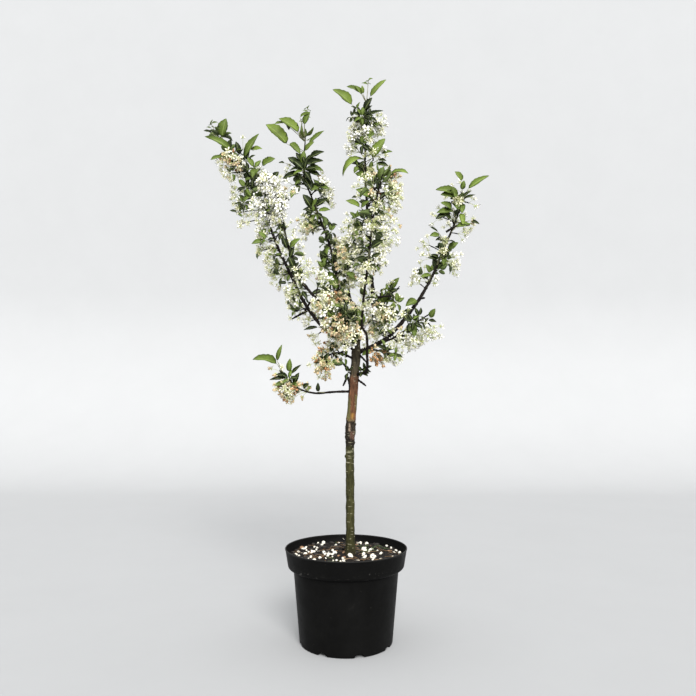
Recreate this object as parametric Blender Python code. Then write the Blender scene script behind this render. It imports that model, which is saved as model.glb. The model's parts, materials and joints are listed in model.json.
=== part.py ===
"""Potted apple tree in blossom: a small grafted tree in a round black nursery pot.

Every limb is one tapering tube along a smooth course. The crown is a set of masses, each
grown from its own stem by one seeded rule: spurs stand round the stem by the golden angle,
and each spur carries a rosette of leaves, and often an umbel of flowers on long stalks.
Units are metres, +Z is up, and the origin is the middle of the pot's flat underside.
"""

import math
import random
from collections import namedtuple

import bmesh
import bpy
import numpy as np

# Pot: a ten litre round container with a deep rim band and drain notches round its foot
POT_RIM_RADIUS = 0.140
POT_HEIGHT = 0.210
POT_BAND_HEIGHT = 0.038
POT_BAND_FOOT_RADIUS = 0.1335
POT_SHOULDER_DROP = 0.007
POT_SHOULDER_RADIUS = 0.1205
POT_FOOT_RADIUS = 0.106
POT_FOOT_BEVEL = 0.004
POT_WALL = 0.0024
POT_FLOOR = 0.003
POT_SEGMENTS = 32
NOTCH_COUNT = 8
NOTCH_WIDTH = 0.022
NOTCH_HEIGHT = 0.008
NOTCH_DEPTH = 0.012

# Potting mix
MIX_LEVEL = 0.196
MIX_CROWN = 0.003

# Clearance between solids that meet
CLEARANCE = 0.0003

# Trunk
TRUNK_SIDES = 10
TRUNK_FOOT = (0.010, -0.022)
TRUNK_COURSE = (
    (0.009, -0.016, 0.364),
    (0.009, -0.012, 0.455),
    (0.014, -0.008, 0.536),
    (0.021, -0.003, 0.622),
    (0.026, 0.000, 0.686),
    (0.033, 0.006, 0.716),
)
TRUNK_FOOT_RADIUS = 0.0086
TRUNK_FORK_RADIUS = 0.0052
FLARE_SHARE = 0.42
FLARE_HEIGHT = 0.018
GRAFT_HEIGHT = 0.478
GRAFT_SPREAD = 0.020
GRAFT_SWELL = 0.0022
SCION_HEIGHT = 0.560
SCION_SPREAD = 0.055
SCION_SWELL = 0.0018
COLLAR_HEIGHT = 0.655
COLLAR_SPREAD = 0.016
COLLAR_SWELL = 0.0020
FORK_TAPER_FROM = 0.640

# Limbs and stems
LIMB_SIDES = 7
STEM_SIDES = 4
SPUR_SIDES = 3
LINE_STEP = 0.004
RING_STEP = 0.022

# Foliage rule
GOLDEN_ANGLE = math.radians(137.508)
SPUR_SPACING = 0.031
SPUR_RADIUS = 0.0028
SPUR_LENGTH = (0.010, 0.026)
SPUR_LIFT = (math.radians(20), math.radians(55))
LEAF_LENGTH = (0.032, 0.048)
LONG_LEAF_LENGTH = (0.050, 0.072)
LEAF_WIDTH = 0.56
LONG_LEAF_WIDTH = 0.36
LEAF_THICKNESS = 0.022
LEAF_WIDEST = 0.46
LEAF_FOLD = 0.16
STALK_LENGTH = (0.028, 0.042)
FLOWER_RADIUS = 0.0150
FLOWER_NECK = 0.0036
FLOWER_CUP = 0.0030
FLOWER_EYE = 0.0012
PETALS = 5
LEAVES_ON_BLOSSOM_SPUR = (2, 3)
FLOWERS_ON_SPUR = (1, 2)
LEAVES_ON_LEAFY_SPUR = (4, 5)
LEAVES_AT_TIP = 6
TIP_LEAF_STEP = 0.004
WELD = 8e-6
SPACE_MARGIN = 0.0012
LIMB_MARGIN = 0.0022
SEED = 41
SEED_TRIES = 40

# A bough leaves its parent at a share of the parent's line, and follows its course from there.
# It is a bare limb up to the share "bare" of its own line, and masses take over from there:
# each mass is (name, share where it ends, share of its spurs that blossom).
Bough = namedtuple("Bough", "name parent leaves_at course radii bare masses")

BOUGHS = (
    Bough(
        "leader",
        "trunk",
        1.0,
        ((0.045, 0.016, 0.746), (0.064, 0.034, 0.800), (0.057, 0.045, 0.900),
         (0.051, 0.040, 1.026), (0.046, 0.030, 1.124), (0.052, 0.016, 1.285)),
        (0.0048, 0.0016),
        0.17,
        (("leader_lower", 0.42, 0.9), ("leader_middle", 0.70, 0.75), ("leader_tip", 1.0, 0.6)),
    ),
    Bough(
        "centre_bough",
        "trunk",
        0.785,
        ((0.046, -0.030, 0.614), (0.049, -0.050, 0.670), (0.038, -0.065, 0.712),
         (0.041, -0.088, 0.790), (0.050, -0.115, 0.860), (0.060, -0.142, 0.950),
         (0.078, -0.168, 1.030)),
        (0.0042, 0.0016),
        0.44,
        (("centre_lower", 0.72, 0.85), ("centre_tip", 1.0, 0.6)),
    ),
    Bough(
        "left_bough",
        "trunk",
        0.900,
        ((-0.016, 0.010, 0.690), (-0.061, 0.030, 0.728), (-0.104, 0.050, 0.787),
         (-0.140, 0.070, 0.862), (-0.176, 0.085, 0.940), (-0.214, 0.090, 1.041),
         (-0.258, 0.080, 1.134), (-0.324, 0.064, 1.202)),
        (0.0050, 0.0016),
        0.24,
        (("left_lower", 0.50, 0.85), ("left_middle", 0.76, 0.85), ("left_tip", 1.0, 0.45)),
    ),
    Bough(
        "left_inner_bough",
        "trunk",
        0.940,
        ((-0.003, -0.032, 0.711), (-0.041, -0.057, 0.750), (-0.079, -0.080, 0.788),
         (-0.105, -0.100, 0.825), (-0.128, -0.120, 0.888), (-0.144, -0.135, 0.962),
         (-0.160, -0.146, 1.020)),
        (0.0040, 0.0016),
        0.26,
        (("left_inner_lower", 0.62, 0.85), ("left_inner_tip", 1.0, 0.9)),
    ),
    Bough(
        "left_centre_bough",
        "trunk",
        0.965,
        ((0.007, 0.030, 0.736), (-0.015, 0.060, 0.785), (-0.026, 0.100, 0.871),
         (-0.048, 0.130, 0.961), (-0.089, 0.160, 1.076), (-0.114, 0.170, 1.150),
         (-0.110, 0.168, 1.255)),
        (0.0042, 0.0016),
        0.18,
        (("left_centre_lower", 0.46, 0.8), ("left_centre_middle", 0.72, 0.5),
         ("left_centre_tip", 1.0, 0.25)),
    ),
    Bough(
        "back_bough",
        "trunk",
        0.930,
        ((0.020, 0.050, 0.752), (0.006, 0.100, 0.825), (0.002, 0.150, 0.916),
         (0.022, 0.185, 1.007)),
        (0.0038, 0.0016),
        0.24,
        (("back_lower", 0.60, 0.85), ("back_tip", 1.0, 0.6)),
    ),
    Bough(
        "right_bough",
        "trunk",
        0.885,
        ((0.064, 0.010, 0.675), (0.100, 0.020, 0.698), (0.144, 0.040, 0.746),
         (0.187, 0.060, 0.806), (0.222, 0.075, 0.871), (0.246, 0.085, 0.929),
         (0.270, 0.090, 0.982), (0.301, 0.093, 1.062)),
        (0.0056, 0.0016),
        0.46,
        (("right_lower", 0.78, 0.75), ("right_tip", 1.0, 0.35)),
    ),
    Bough(
        "right_low_limb",
        "right_bough",
        0.115,
        ((0.102, -0.020, 0.688), (0.124, -0.040, 0.699), (0.152, -0.062, 0.718),
         (0.190, -0.080, 0.742)),
        (0.0030, 0.0014),
        0.50,
        (("right_low_spray", 1.0, 0.6),),
    ),
    Bough(
        "fork_rise_limb",
        "right_bough",
        0.190,
        ((0.100, 0.040, 0.728), (0.096, 0.056, 0.762), (0.094, 0.062, 0.795)),
        (0.0026, 0.0014),
        0.28,
        (("fork_rise_spray", 1.0, 0.9),),
    ),
    Bough(
        "fork_low_right_limb",
        "right_bough",
        0.045,
        ((0.066, -0.016, 0.664), (0.090, -0.036, 0.657), (0.124, -0.056, 0.650)),
        (0.0026, 0.0014),
        0.36,
        (("fork_low_right_spray", 1.0, 0.7),),
    ),
    Bough(
        "inner_right_limb",
        "leader",
        0.150,
        ((0.085, 0.056, 0.800), (0.108, 0.076, 0.808), (0.134, 0.090, 0.832)),
        (0.0024, 0.0014),
        0.36,
        (("inner_right_spray", 1.0, 0.5),),
    ),
    Bough(
        "fork_front_limb",
        "trunk",
        0.912,
        ((0.014, -0.034, 0.690), (-0.004, -0.058, 0.708), (-0.022, -0.078, 0.735)),
        (0.0030, 0.0014),
        0.34,
        (("fork_front_spray", 1.0, 0.95),),
    ),
    Bough(
        "fork_left_limb",
        "trunk",
        0.855,
        ((-0.012, -0.018, 0.656), (-0.035, -0.032, 0.653), (-0.062, -0.045, 0.634)),
        (0.0028, 0.0014),
        0.50,
        (("fork_left_spray", 1.0, 0.7),),
    ),
    Bough(
        "low_left_limb",
        "trunk",
        0.712,
        ((-0.028, -0.030, 0.566), (-0.069, -0.045, 0.563), (-0.102, -0.055, 0.571),
         (-0.124, -0.060, 0.587), (-0.150, -0.064, 0.615)),
        (0.0030, 0.0014),
        0.66,
        (("low_left_spray", 1.0, 0.6),),
    ),
)

Mass = namedtuple("Mass", "name line tube blossom at_tip")
Leaf = namedtuple("Leaf", "root along normal length width")
Flower = namedtuple("Flower", "root along stalk radius")


def clear_scene():
    """Removes whatever the file held, so that the part stands alone."""
    for obj in list(bpy.data.objects):
        bpy.data.objects.remove(obj)


def make_material(name, colour, roughness, metallic=0.0):
    """A plain finish with the part's colour."""
    material = bpy.data.materials.new(name)
    material.use_nodes = True
    shader = material.node_tree.nodes["Principled BSDF"]
    shader.inputs["Base Color"].default_value = (*colour, 1.0)
    shader.inputs["Roughness"].default_value = roughness
    shader.inputs["Metallic"].default_value = metallic
    return material


def add_mesh_object(name, vertices, faces, material=None):
    """A mesh object at the origin with its place in its vertices."""
    mesh = bpy.data.meshes.new(name)
    mesh.from_pydata([tuple(v) for v in vertices], [], faces)
    mesh.update()
    obj = bpy.data.objects.new(name, mesh)
    bpy.context.scene.collection.objects.link(obj)
    if material is not None:
        mesh.materials.append(material)
    return obj


def unit(vector):
    """The vector at length one."""
    return vector / np.linalg.norm(vector)


def smooth_line(points):
    """A Catmull-Rom curve through the points, resampled at an even step."""
    knots = np.array(points, float)
    knots = np.vstack([2 * knots[0] - knots[1], knots, 2 * knots[-1] - knots[-2]])
    t = np.linspace(0, 1, 24, endpoint=False)[:, None]
    runs = []
    for a, b, c, d in zip(knots, knots[1:], knots[2:], knots[3:]):
        runs.append(0.5 * (2 * b + (c - a) * t + (2 * a - 5 * b + 4 * c - d) * t**2
                           + (3 * b - a - 3 * c + d) * t**3))
    dense = np.vstack([*runs, knots[-2:-1]])
    reach = np.concatenate([[0], np.cumsum(np.linalg.norm(np.diff(dense, axis=0), axis=1))])
    count = max(3, round(reach[-1] / LINE_STEP) + 1)
    even = np.linspace(0, reach[-1], count)
    return np.stack([np.interp(even, reach, dense[:, k]) for k in range(3)], axis=1)


def line_length(line):
    """The length of a line of points."""
    return float(np.linalg.norm(np.diff(line, axis=0), axis=1).sum())


def point_at(line, share):
    """The point at a share of an evenly stepped line."""
    place = np.clip(share, 0, 1) * (len(line) - 1)
    low = min(int(place), len(line) - 2)
    return line[low] + (line[low + 1] - line[low]) * (place - low)


def stretch(line, start, end):
    """The stretch of a line between two shares, at an even step."""
    count = max(3, round((end - start) * (len(line) - 1)) + 1)
    return np.array([point_at(line, share) for share in np.linspace(start, end, count)])


def tangents_of(line):
    """The unit direction of the line at each of its points."""
    slopes = np.gradient(line, axis=0)
    return slopes / np.linalg.norm(slopes, axis=1)[:, None]


def side_frames(tangents):
    """Two unit vectors square to each direction, carried along the line without twist."""
    first = np.cross(tangents[0], (0.0, 1.0, 0.0))
    if np.linalg.norm(first) < 0.2:
        first = np.cross(tangents[0], (1.0, 0.0, 0.0))
    sides = [unit(first)]
    for tangent in tangents[1:]:
        across = sides[-1] - tangent * (sides[-1] @ tangent)
        sides.append(unit(across))
    sides = np.array(sides)
    return sides, np.cross(tangents, sides)


def tube_mesh(line, tangents, radii, sides):
    """Vertices and faces of a closed tube with a radius and a direction at each point."""
    across, over = side_frames(tangents)
    turn = np.arange(sides) * 2 * math.pi / sides
    ring = np.cos(turn)[:, None] * across[:, None] + np.sin(turn)[:, None] * over[:, None]
    vertices = (line[:, None] + ring * np.asarray(radii)[:, None, None]).reshape(-1, 3)
    faces = [tuple(range(sides))[::-1]]
    for row in range(len(line) - 1):
        for k in range(sides):
            a, b = row * sides + k, row * sides + (k + 1) % sides
            faces.append((a, b, b + sides, a + sides))
    last = (len(line) - 1) * sides
    faces.append(tuple(range(last, last + sides)))
    return vertices, faces


def rings_on(line, start, end, step):
    """Shares, points and directions for a tube's rings between two shares of a line."""
    count = max(3, round(line_length(line) * (end - start) / step) + 1)
    shares = np.linspace(start, end, count)
    slopes = tangents_of(line)
    points = np.array([point_at(line, share) for share in shares])
    tangents = np.array([unit(point_at(slopes, share)) for share in shares])
    return shares, points, tangents


def pot_profile():
    """The pot's wall and floor as one closed outline of (radius, height), outside then inside."""
    band_foot = POT_HEIGHT - POT_BAND_HEIGHT
    shoulder = band_foot - POT_SHOULDER_DROP
    lip = POT_WALL * 0.4
    outside = [
        (0.0, 0.0),
        (POT_FOOT_RADIUS - POT_FOOT_BEVEL, 0.0),
        (POT_FOOT_RADIUS, POT_FOOT_BEVEL),
        (POT_SHOULDER_RADIUS, shoulder),
        (POT_BAND_FOOT_RADIUS - 0.004, shoulder + 0.002),
        (POT_BAND_FOOT_RADIUS, band_foot + 0.002),
        (POT_RIM_RADIUS, POT_HEIGHT - lip),
        (POT_RIM_RADIUS - lip, POT_HEIGHT),
    ]
    inside = [
        (POT_RIM_RADIUS - POT_WALL, POT_HEIGHT),
        (POT_BAND_FOOT_RADIUS - POT_WALL, band_foot + 0.003),
        (POT_SHOULDER_RADIUS - POT_WALL, shoulder + 0.0025),
        (POT_FOOT_RADIUS - POT_WALL - 0.001, POT_FLOOR),
        (0.0, POT_FLOOR),
    ]
    return outside, inside


def spun_solid(name, profile, material):
    """A solid turned about Z from a profile that starts and ends on the axis."""
    shape = bmesh.new()
    points = [shape.verts.new((radius, 0.0, height)) for radius, height in profile]
    edges = [shape.edges.new(pair) for pair in zip(points, points[1:])]
    bmesh.ops.spin(
        shape,
        geom=points + edges,
        axis=(0, 0, 1),
        cent=(0, 0, 0),
        steps=POT_SEGMENTS,
        angle=2 * math.pi,
        use_merge=True,
    )
    bmesh.ops.remove_doubles(shape, verts=shape.verts, dist=1e-6)
    bmesh.ops.recalc_face_normals(shape, faces=shape.faces)
    mesh = bpy.data.meshes.new(name)
    shape.to_mesh(mesh)
    shape.free()
    mesh.shade_smooth()
    mesh.set_sharp_from_angle(angle=math.radians(35))
    mesh.materials.append(material)
    obj = bpy.data.objects.new(name, mesh)
    bpy.context.scene.collection.objects.link(obj)
    return obj


def cut_away(obj, cutter):
    """Takes the cutter out of the object, and leaves the cutter as a hidden guide."""
    modifier = obj.modifiers.new("Cut", "BOOLEAN")
    modifier.operation = "DIFFERENCE"
    modifier.solver = "EXACT"
    modifier.object = cutter
    cutter.hide_render = True
    cutter.display_type = "WIRE"


def notch_cutter():
    """One mesh with an arched block for each drain notch round the pot's foot."""
    half = NOTCH_WIDTH / 2
    arch = [(-half, -NOTCH_HEIGHT), (half, -NOTCH_HEIGHT)]
    turns = np.linspace(0.35, math.pi - 0.35, 5)
    arch += [(half * math.cos(turn), NOTCH_HEIGHT * math.sin(turn)) for turn in turns]
    inner, outer = POT_FOOT_RADIUS - NOTCH_DEPTH, POT_FOOT_RADIUS + NOTCH_DEPTH
    vertices, faces = [], []
    for number in range(NOTCH_COUNT):
        angle = (number + 0.35) * 2 * math.pi / NOTCH_COUNT
        out = np.array((math.cos(angle), math.sin(angle), 0.0))
        side = np.array((-math.sin(angle), math.cos(angle), 0.0))
        first = len(vertices)
        for radius in (inner, outer):
            vertices += [out * radius + side * x + np.array((0, 0, z)) for x, z in arch]
        count = len(arch)
        faces.append(tuple(range(first, first + count))[::-1])
        faces.append(tuple(range(first + count, first + 2 * count)))
        for k in range(count):
            a, b = first + k, first + (k + 1) % count
            faces.append((a, b, b + count, a + count))
    return add_mesh_object("notch_guide", vertices, faces)


def make_pot(material):
    """The pot: a turned shell with drain notches cut through the corner of wall and floor."""
    outside, inside = pot_profile()
    pot = spun_solid("pot", outside + inside, material)
    cut_away(pot, notch_cutter())
    return pot


def make_potting_mix(material):
    """The mix that fills the pot, clear of its wall and floor, with a slight crown."""
    outside, inside = pot_profile()
    wall = [(radius - CLEARANCE, height) for radius, height in reversed(inside[:-1])]
    wall[0] = (wall[0][0], POT_FLOOR + CLEARANCE)
    below = [(radius, height) for radius, height in wall if height < MIX_LEVEL - 0.004]
    band = POT_BAND_FOOT_RADIUS - POT_WALL - CLEARANCE
    profile = [
        (0.0, POT_FLOOR + CLEARANCE),
        *below,
        (band, MIX_LEVEL - 0.004),
        (band * 0.96, MIX_LEVEL - 0.001),
        (band * 0.55, MIX_LEVEL - 0.003 + MIX_CROWN),
        (0.034, MIX_LEVEL),
        (0.0, MIX_LEVEL),
    ]
    return spun_solid("potting_mix", profile, material)


def bell(height, middle, spread):
    """A smooth swelling round a middle height."""
    return np.exp(-(((height - middle) / spread) ** 2))


def trunk_line():
    """The trunk's course, from its flat cut on the mix to the fork."""
    foot = MIX_LEVEL + CLEARANCE
    return smooth_line([(*TRUNK_FOOT, foot), *TRUNK_COURSE])


def trunk_radii(line):
    """The trunk's taper with its root flare, graft, scion and branch collar."""
    height = line[:, 2]
    fork = height[-1]
    taper = np.clip((height - FORK_TAPER_FROM) / (fork - FORK_TAPER_FROM), 0, 1)
    radii = TRUNK_FOOT_RADIUS + (TRUNK_FORK_RADIUS - TRUNK_FOOT_RADIUS) * taper
    radii = radii * (1 + FLARE_SHARE * np.exp(-(height - height[0]) / FLARE_HEIGHT))
    radii = radii + GRAFT_SWELL * bell(height, GRAFT_HEIGHT, GRAFT_SPREAD)
    radii = radii + SCION_SWELL * bell(height, SCION_HEIGHT, SCION_SPREAD)
    return radii + COLLAR_SWELL * bell(height, COLLAR_HEIGHT, COLLAR_SPREAD)


def level_foot(vertices, sides):
    """Brings the first ring of a tube onto one level, so that the cut is flat."""
    vertices[:sides, 2] = MIX_LEVEL + CLEARANCE
    return vertices


def trunk_tube(line, swell):
    """The trunk's tube, made thicker all round by a swell."""
    _, points, tangents = rings_on(line, 0, 1, RING_STEP * 0.8)
    return tube_mesh(points, tangents, trunk_radii(points) + swell, TRUNK_SIDES)


def make_trunk(line, material):
    """The trunk from its flat cut to the fork, in one solid."""
    vertices, faces = trunk_tube(line, 0.0)
    trunk = add_mesh_object("trunk", level_foot(vertices, TRUNK_SIDES), faces, material)
    trunk.data.shade_smooth()
    return trunk


def bough_lines(trunk):
    """The full line of every bough by name, each starting on its parent's axis."""
    lines = {"trunk": trunk}
    for bough in BOUGHS:
        start = point_at(lines[bough.parent], bough.leaves_at)
        lines[bough.name] = smooth_line([start, *bough.course])
    return lines


def bough_radii(bough, shares):
    """A bough's radius at shares of its line, thick at the root and slim at the tip."""
    root, tip = bough.radii
    return tip + (root - tip) * (1 - np.asarray(shares)) ** 0.8


def limb_tube(bough, lines, swell):
    """The bare part of a bough as a tapering tube, made thicker all round by a swell."""
    shares, points, tangents = rings_on(lines[bough.name], 0, bough.bare, RING_STEP)
    if bough.leaves_at == 1.0:
        tangents[0] = tangents_of(lines[bough.parent])[-1]
        points[0] = points[0] + tangents[0] * CLEARANCE
    return tube_mesh(points, tangents, bough_radii(bough, shares) + swell, LIMB_SIDES)


def make_limb(bough, lines, material):
    """The bare part of a bough as one solid, its root cut clear of its parent."""
    limb = add_mesh_object(bough.name, *limb_tube(bough, lines, 0.0), material)
    limb.data.shade_smooth()
    if bough.leaves_at == 1.0:
        return limb
    if bough.parent == "trunk":
        around = trunk_tube(lines["trunk"], CLEARANCE)
    else:
        owner = next(other for other in BOUGHS if other.name == bough.parent)
        around = limb_tube(owner, lines, CLEARANCE)
    cut_away(limb, add_mesh_object(f"{bough.name}_guide", *around))
    return limb


def across_vector(along, rng):
    """A seeded unit vector square to a direction."""
    draw = np.array([rng.gauss(0, 1) for _ in range(3)])
    return unit(draw - along * (draw @ along))


def spur_sites(line, rng):
    """Root, direction and length of each spur on a stem, turning by the golden angle."""
    tangents = tangents_of(line)
    across, over = side_frames(tangents)
    length = line_length(line)
    turn = rng.uniform(0, 2 * math.pi)
    place = SPUR_SPACING * 0.35
    sites = []
    while place < length - SPUR_SPACING * 0.3:
        row = min(int(place / length * (len(line) - 1)), len(line) - 1)
        turn += GOLDEN_ANGLE
        lift = rng.uniform(*SPUR_LIFT)
        radial = math.cos(turn) * across[row] + math.sin(turn) * over[row]
        along = unit(math.cos(lift) * radial + math.sin(lift) * tangents[row])
        sites.append((line[row], along, rng.uniform(*SPUR_LENGTH)))
        place += SPUR_SPACING * rng.uniform(0.8, 1.2)
    return sites


def rosette_leaves(root, along, count, lengths, width, spread, rng):
    """Leaves that stand round a spur's tip, each turned by the golden angle."""
    side = across_vector(along, rng)
    over = np.cross(along, side)
    leaves = []
    for number in range(count):
        turn = number * GOLDEN_ANGLE + rng.uniform(-0.3, 0.3)
        lean = rng.uniform(*spread)
        out = math.cos(turn) * side + math.sin(turn) * over
        way = unit(math.cos(lean) * along + math.sin(lean) * out + np.array((0, 0, 0.15)))
        normal = np.cross(np.cross(way, along), way)
        normal = across_vector(way, rng) if np.linalg.norm(normal) < 1e-3 else unit(normal)
        length = rng.uniform(*lengths)
        leaves.append(Leaf(root - along * rng.uniform(0, 0.002), way, normal, length, length * width))
    return leaves


def umbel(root, along, rng):
    """Flowers on long stalks that spread from a spur's tip and hang a little."""
    side = across_vector(along, rng)
    over = np.cross(along, side)
    flowers = []
    for number in range(rng.choice(FLOWERS_ON_SPUR)):
        turn = (number + 0.4) * GOLDEN_ANGLE + rng.uniform(-0.3, 0.3)
        lean = rng.uniform(math.radians(15), math.radians(65))
        out = math.cos(turn) * side + math.sin(turn) * over
        way = unit(math.cos(lean) * along + math.sin(lean) * out - np.array((0, 0, 0.30)))
        flowers.append(Flower(root - way * 0.002, way, rng.uniform(*STALK_LENGTH), FLOWER_RADIUS))
    return flowers


def leaf_solid(leaf):
    """A folded kite of eight faces, thickest on its midrib."""
    side = np.cross(leaf.normal, leaf.along)
    rib = leaf.root + leaf.along * leaf.length * LEAF_WIDEST
    lift = leaf.normal * leaf.length * LEAF_THICKNESS / 2
    edge = side * leaf.width / 2
    fold = leaf.normal * leaf.width * LEAF_FOLD
    tip = leaf.root + leaf.along * leaf.length - leaf.normal * leaf.length * 0.06
    vertices = [leaf.root, rib + edge + fold, tip, rib - edge + fold, rib + lift, rib - lift]
    faces = [(0, 4, 1), (1, 4, 2), (2, 4, 3), (3, 4, 0), (0, 1, 5), (1, 2, 5), (2, 3, 5), (3, 0, 5)]
    return np.array(vertices), faces


def flower_solid(flower):
    """A star of five petals on a slender tapering stalk, closed and of twenty faces."""
    side = unit(np.cross(flower.along, (0.31, 0.87, 0.39)))
    over = np.cross(flower.along, side)
    neck = flower.root + flower.along * flower.stalk
    vertices = [flower.root, neck + flower.along * FLOWER_EYE]
    step = 2 * math.pi / PETALS
    for k in range(PETALS):
        notch, petal = (k + 0.5) * step, k * step
        vertices.append(neck + FLOWER_NECK * (math.cos(notch) * side + math.sin(notch) * over))
        vertices.append(neck + flower.along * FLOWER_CUP
                        + flower.radius * (math.cos(petal) * side + math.sin(petal) * over))
    faces = []
    for k in range(PETALS):
        before, petal, after = 2 + 2 * ((k - 1) % PETALS), 3 + 2 * k, 2 + 2 * k
        faces += [(0, after, before), (before, after, petal), (1, before, petal), (1, petal, after)]
    return np.array(vertices), faces


def spur_solid(root, along, length):
    """A short three-sided spur that swells towards its tip, sunk in its stem."""
    line = np.array([root, root + along * length])
    radii = np.array((0.65, 1.0)) * SPUR_RADIUS
    return tube_mesh(line, np.tile(along, (2, 1)), radii, SPUR_SIDES)


def nearest(points, cloud):
    """The distance from each point to the nearest point of the cloud."""
    return np.linalg.norm(points[:, None] - cloud[None], axis=2).min(axis=1)


def keeps_its_space(vertices, own, others, limbs):
    """True if the shape is nearer its own stem than any other mass's, and clear of the limbs."""
    middle = vertices.mean(axis=0)
    probes = np.vstack([vertices[1:], (vertices[1:] + middle) / 2, (vertices[1:] + vertices[0]) / 2])
    away = nearest(probes, own)
    if (away + SPACE_MARGIN > nearest(probes, others)).any():
        return False
    return all((nearest(probes, line) > radius + LIMB_MARGIN).all() for line, radius in limbs)


def keep_one_body(mesh):
    """Welds slivers and keeps the largest connected body. Tells if every edge joins two faces."""
    shape = bmesh.new()
    shape.from_mesh(mesh)
    bmesh.ops.remove_doubles(shape, verts=shape.verts, dist=WELD)
    bmesh.ops.triangulate(shape, faces=shape.faces)
    left = set(shape.verts)
    islands = []
    while left:
        reached, edge = set(), [left.pop()]
        while edge:
            vertex = edge.pop()
            reached.add(vertex)
            for link in vertex.link_edges:
                other = link.other_vert(vertex)
                if other in left:
                    left.discard(other)
                    edge.append(other)
        islands.append(reached)
    islands.sort(key=len)
    for scrap in islands[:-1]:
        bmesh.ops.delete(shape, geom=list(scrap), context="VERTS")
    parts = (*shape.edges, *shape.verts)
    sound = all(part.is_manifold for part in parts)
    shape.to_mesh(mesh)
    shape.free()
    return sound


def fuse(stem, solids):
    """Joins the stem and its twigs, leaves and flowers. Tells if the result is one sound solid."""
    group = bpy.data.collections.new(f"{stem.name}_pieces")
    bpy.context.scene.collection.children.link(group)
    pieces = []
    for number, (vertices, faces) in enumerate(solids):
        piece = add_mesh_object(f"{stem.name}_piece_{number}", vertices, faces)
        bpy.context.scene.collection.objects.unlink(piece)
        group.objects.link(piece)
        pieces.append(piece)
    modifier = stem.modifiers.new("Join", "BOOLEAN")
    modifier.operation = "UNION"
    modifier.operand_type = "COLLECTION"
    modifier.collection = group
    modifier.solver = "MANIFOLD"
    graph = bpy.context.evaluated_depsgraph_get()
    joined = bpy.data.meshes.new_from_object(stem.evaluated_get(graph))
    stem.modifiers.clear()
    stem.data = joined
    for piece in pieces:
        bpy.data.objects.remove(piece)
    bpy.data.collections.remove(group)
    return keep_one_body(joined)


def tip_leaves(line, rng):
    """The long young leaves that end a bough, one after another down its last stretch."""
    along = tangents_of(line)[-1]
    spread = (math.radians(14), math.radians(62))
    leaves = rosette_leaves(line[-1], along, LEAVES_AT_TIP, LONG_LEAF_LENGTH, LONG_LEAF_WIDTH,
                            spread, rng)
    steps = [0.002 + TIP_LEAF_STEP * number for number in range(LEAVES_AT_TIP)]
    return [leaf._replace(root=line[-1] - along * step) for leaf, step in zip(leaves, steps)]


def stem_tube(bough, line, start, end):
    """A mass's stem between two shares of its bough, starting clear of what it grows on."""
    shares, points, tangents = rings_on(line, start, end, RING_STEP)
    points[0] = points[0] + tangents[0] * CLEARANCE
    return tube_mesh(points, tangents, bough_radii(bough, shares), STEM_SIDES)


def grow_mass(mass, others, limbs, rng):
    """The solids of a mass's spurs, leaves and flowers, each inside the mass's own space."""
    line = mass.line
    solids = []
    spread = (math.radians(35), math.radians(80))
    for root, along, length in spur_sites(line, rng):
        tip = root + along * length
        blossoms = rng.random() < mass.blossom
        count = rng.choice(LEAVES_ON_BLOSSOM_SPUR if blossoms else LEAVES_ON_LEAFY_SPUR)
        leaves = rosette_leaves(tip, along, count, LEAF_LENGTH, LEAF_WIDTH, spread, rng)
        shapes = [leaf_solid(leaf) for leaf in leaves]
        if blossoms:
            shapes += [flower_solid(flower) for flower in umbel(tip - along * 0.001, along, rng)]
        spur = spur_solid(root, along, length)
        if not keeps_its_space(spur[0][SPUR_SIDES:], line, others, limbs):
            continue
        kept = [shape for shape in shapes if keeps_its_space(shape[0], line, others, limbs)]
        if kept:
            solids += [spur, *kept]
    if mass.at_tip:
        ends = [leaf_solid(leaf) for leaf in tip_leaves(line, rng)]
        solids += [shape for shape in ends if keeps_its_space(shape[0], line, others, limbs)]
    return solids


def make_mass(number, mass, others, limbs, material):
    """One mass of foliage as one solid, grown again from the next seed until it joins soundly."""
    for attempt in range(SEED_TRIES):
        rng = random.Random(SEED + number + attempt * 100)
        stem = add_mesh_object(mass.name, *mass.tube, material)
        if fuse(stem, grow_mass(mass, others, limbs, rng)):
            return stem
        bpy.data.objects.remove(stem)
    raise RuntimeError(f"{mass.name} doesn't join into one sound solid")


def planned_masses(lines):
    """Every mass with its stretch of its bough's line, its stem and its share of blossom."""
    masses = []
    for bough in BOUGHS:
        start = bough.bare
        for name, end, blossom in bough.masses:
            line = lines[bough.name]
            tube = stem_tube(bough, line, start, end)
            masses.append(Mass(name, stretch(line, start, end), tube, blossom, end == 1.0))
            start = end
    return masses


def main():
    clear_scene()
    plastic = make_material("black_plastic", (0.010, 0.010, 0.010), 0.55)
    mix = make_material("potting_mix", (0.030, 0.020, 0.012), 0.95)
    bark = make_material("bark", (0.080, 0.065, 0.035), 0.75)
    twig_bark = make_material("dark_bark", (0.035, 0.025, 0.020), 0.70)
    foliage = make_material("foliage", (0.110, 0.190, 0.035), 0.55)

    make_pot(plastic)
    make_potting_mix(mix)
    lines = bough_lines(trunk_line())
    make_trunk(lines["trunk"], bark)
    limbs = [(lines["trunk"], TRUNK_FOOT_RADIUS + GRAFT_SWELL)]
    for bough in BOUGHS:
        make_limb(bough, lines, twig_bark)
        limbs.append((stretch(lines[bough.name], 0, bough.bare), bough.radii[0]))

    masses = planned_masses(lines)
    for number, mass in enumerate(masses):
        others = np.vstack([other.line for other in masses if other.name != mass.name])
        make_mass(number, mass, others, limbs, foliage)


main()
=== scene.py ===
"""Dresses the potted apple tree: bark, spurs, leaves, blossom, potting mix, pot and stage."""

import json
import math
from collections import namedtuple
from functools import lru_cache

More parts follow.
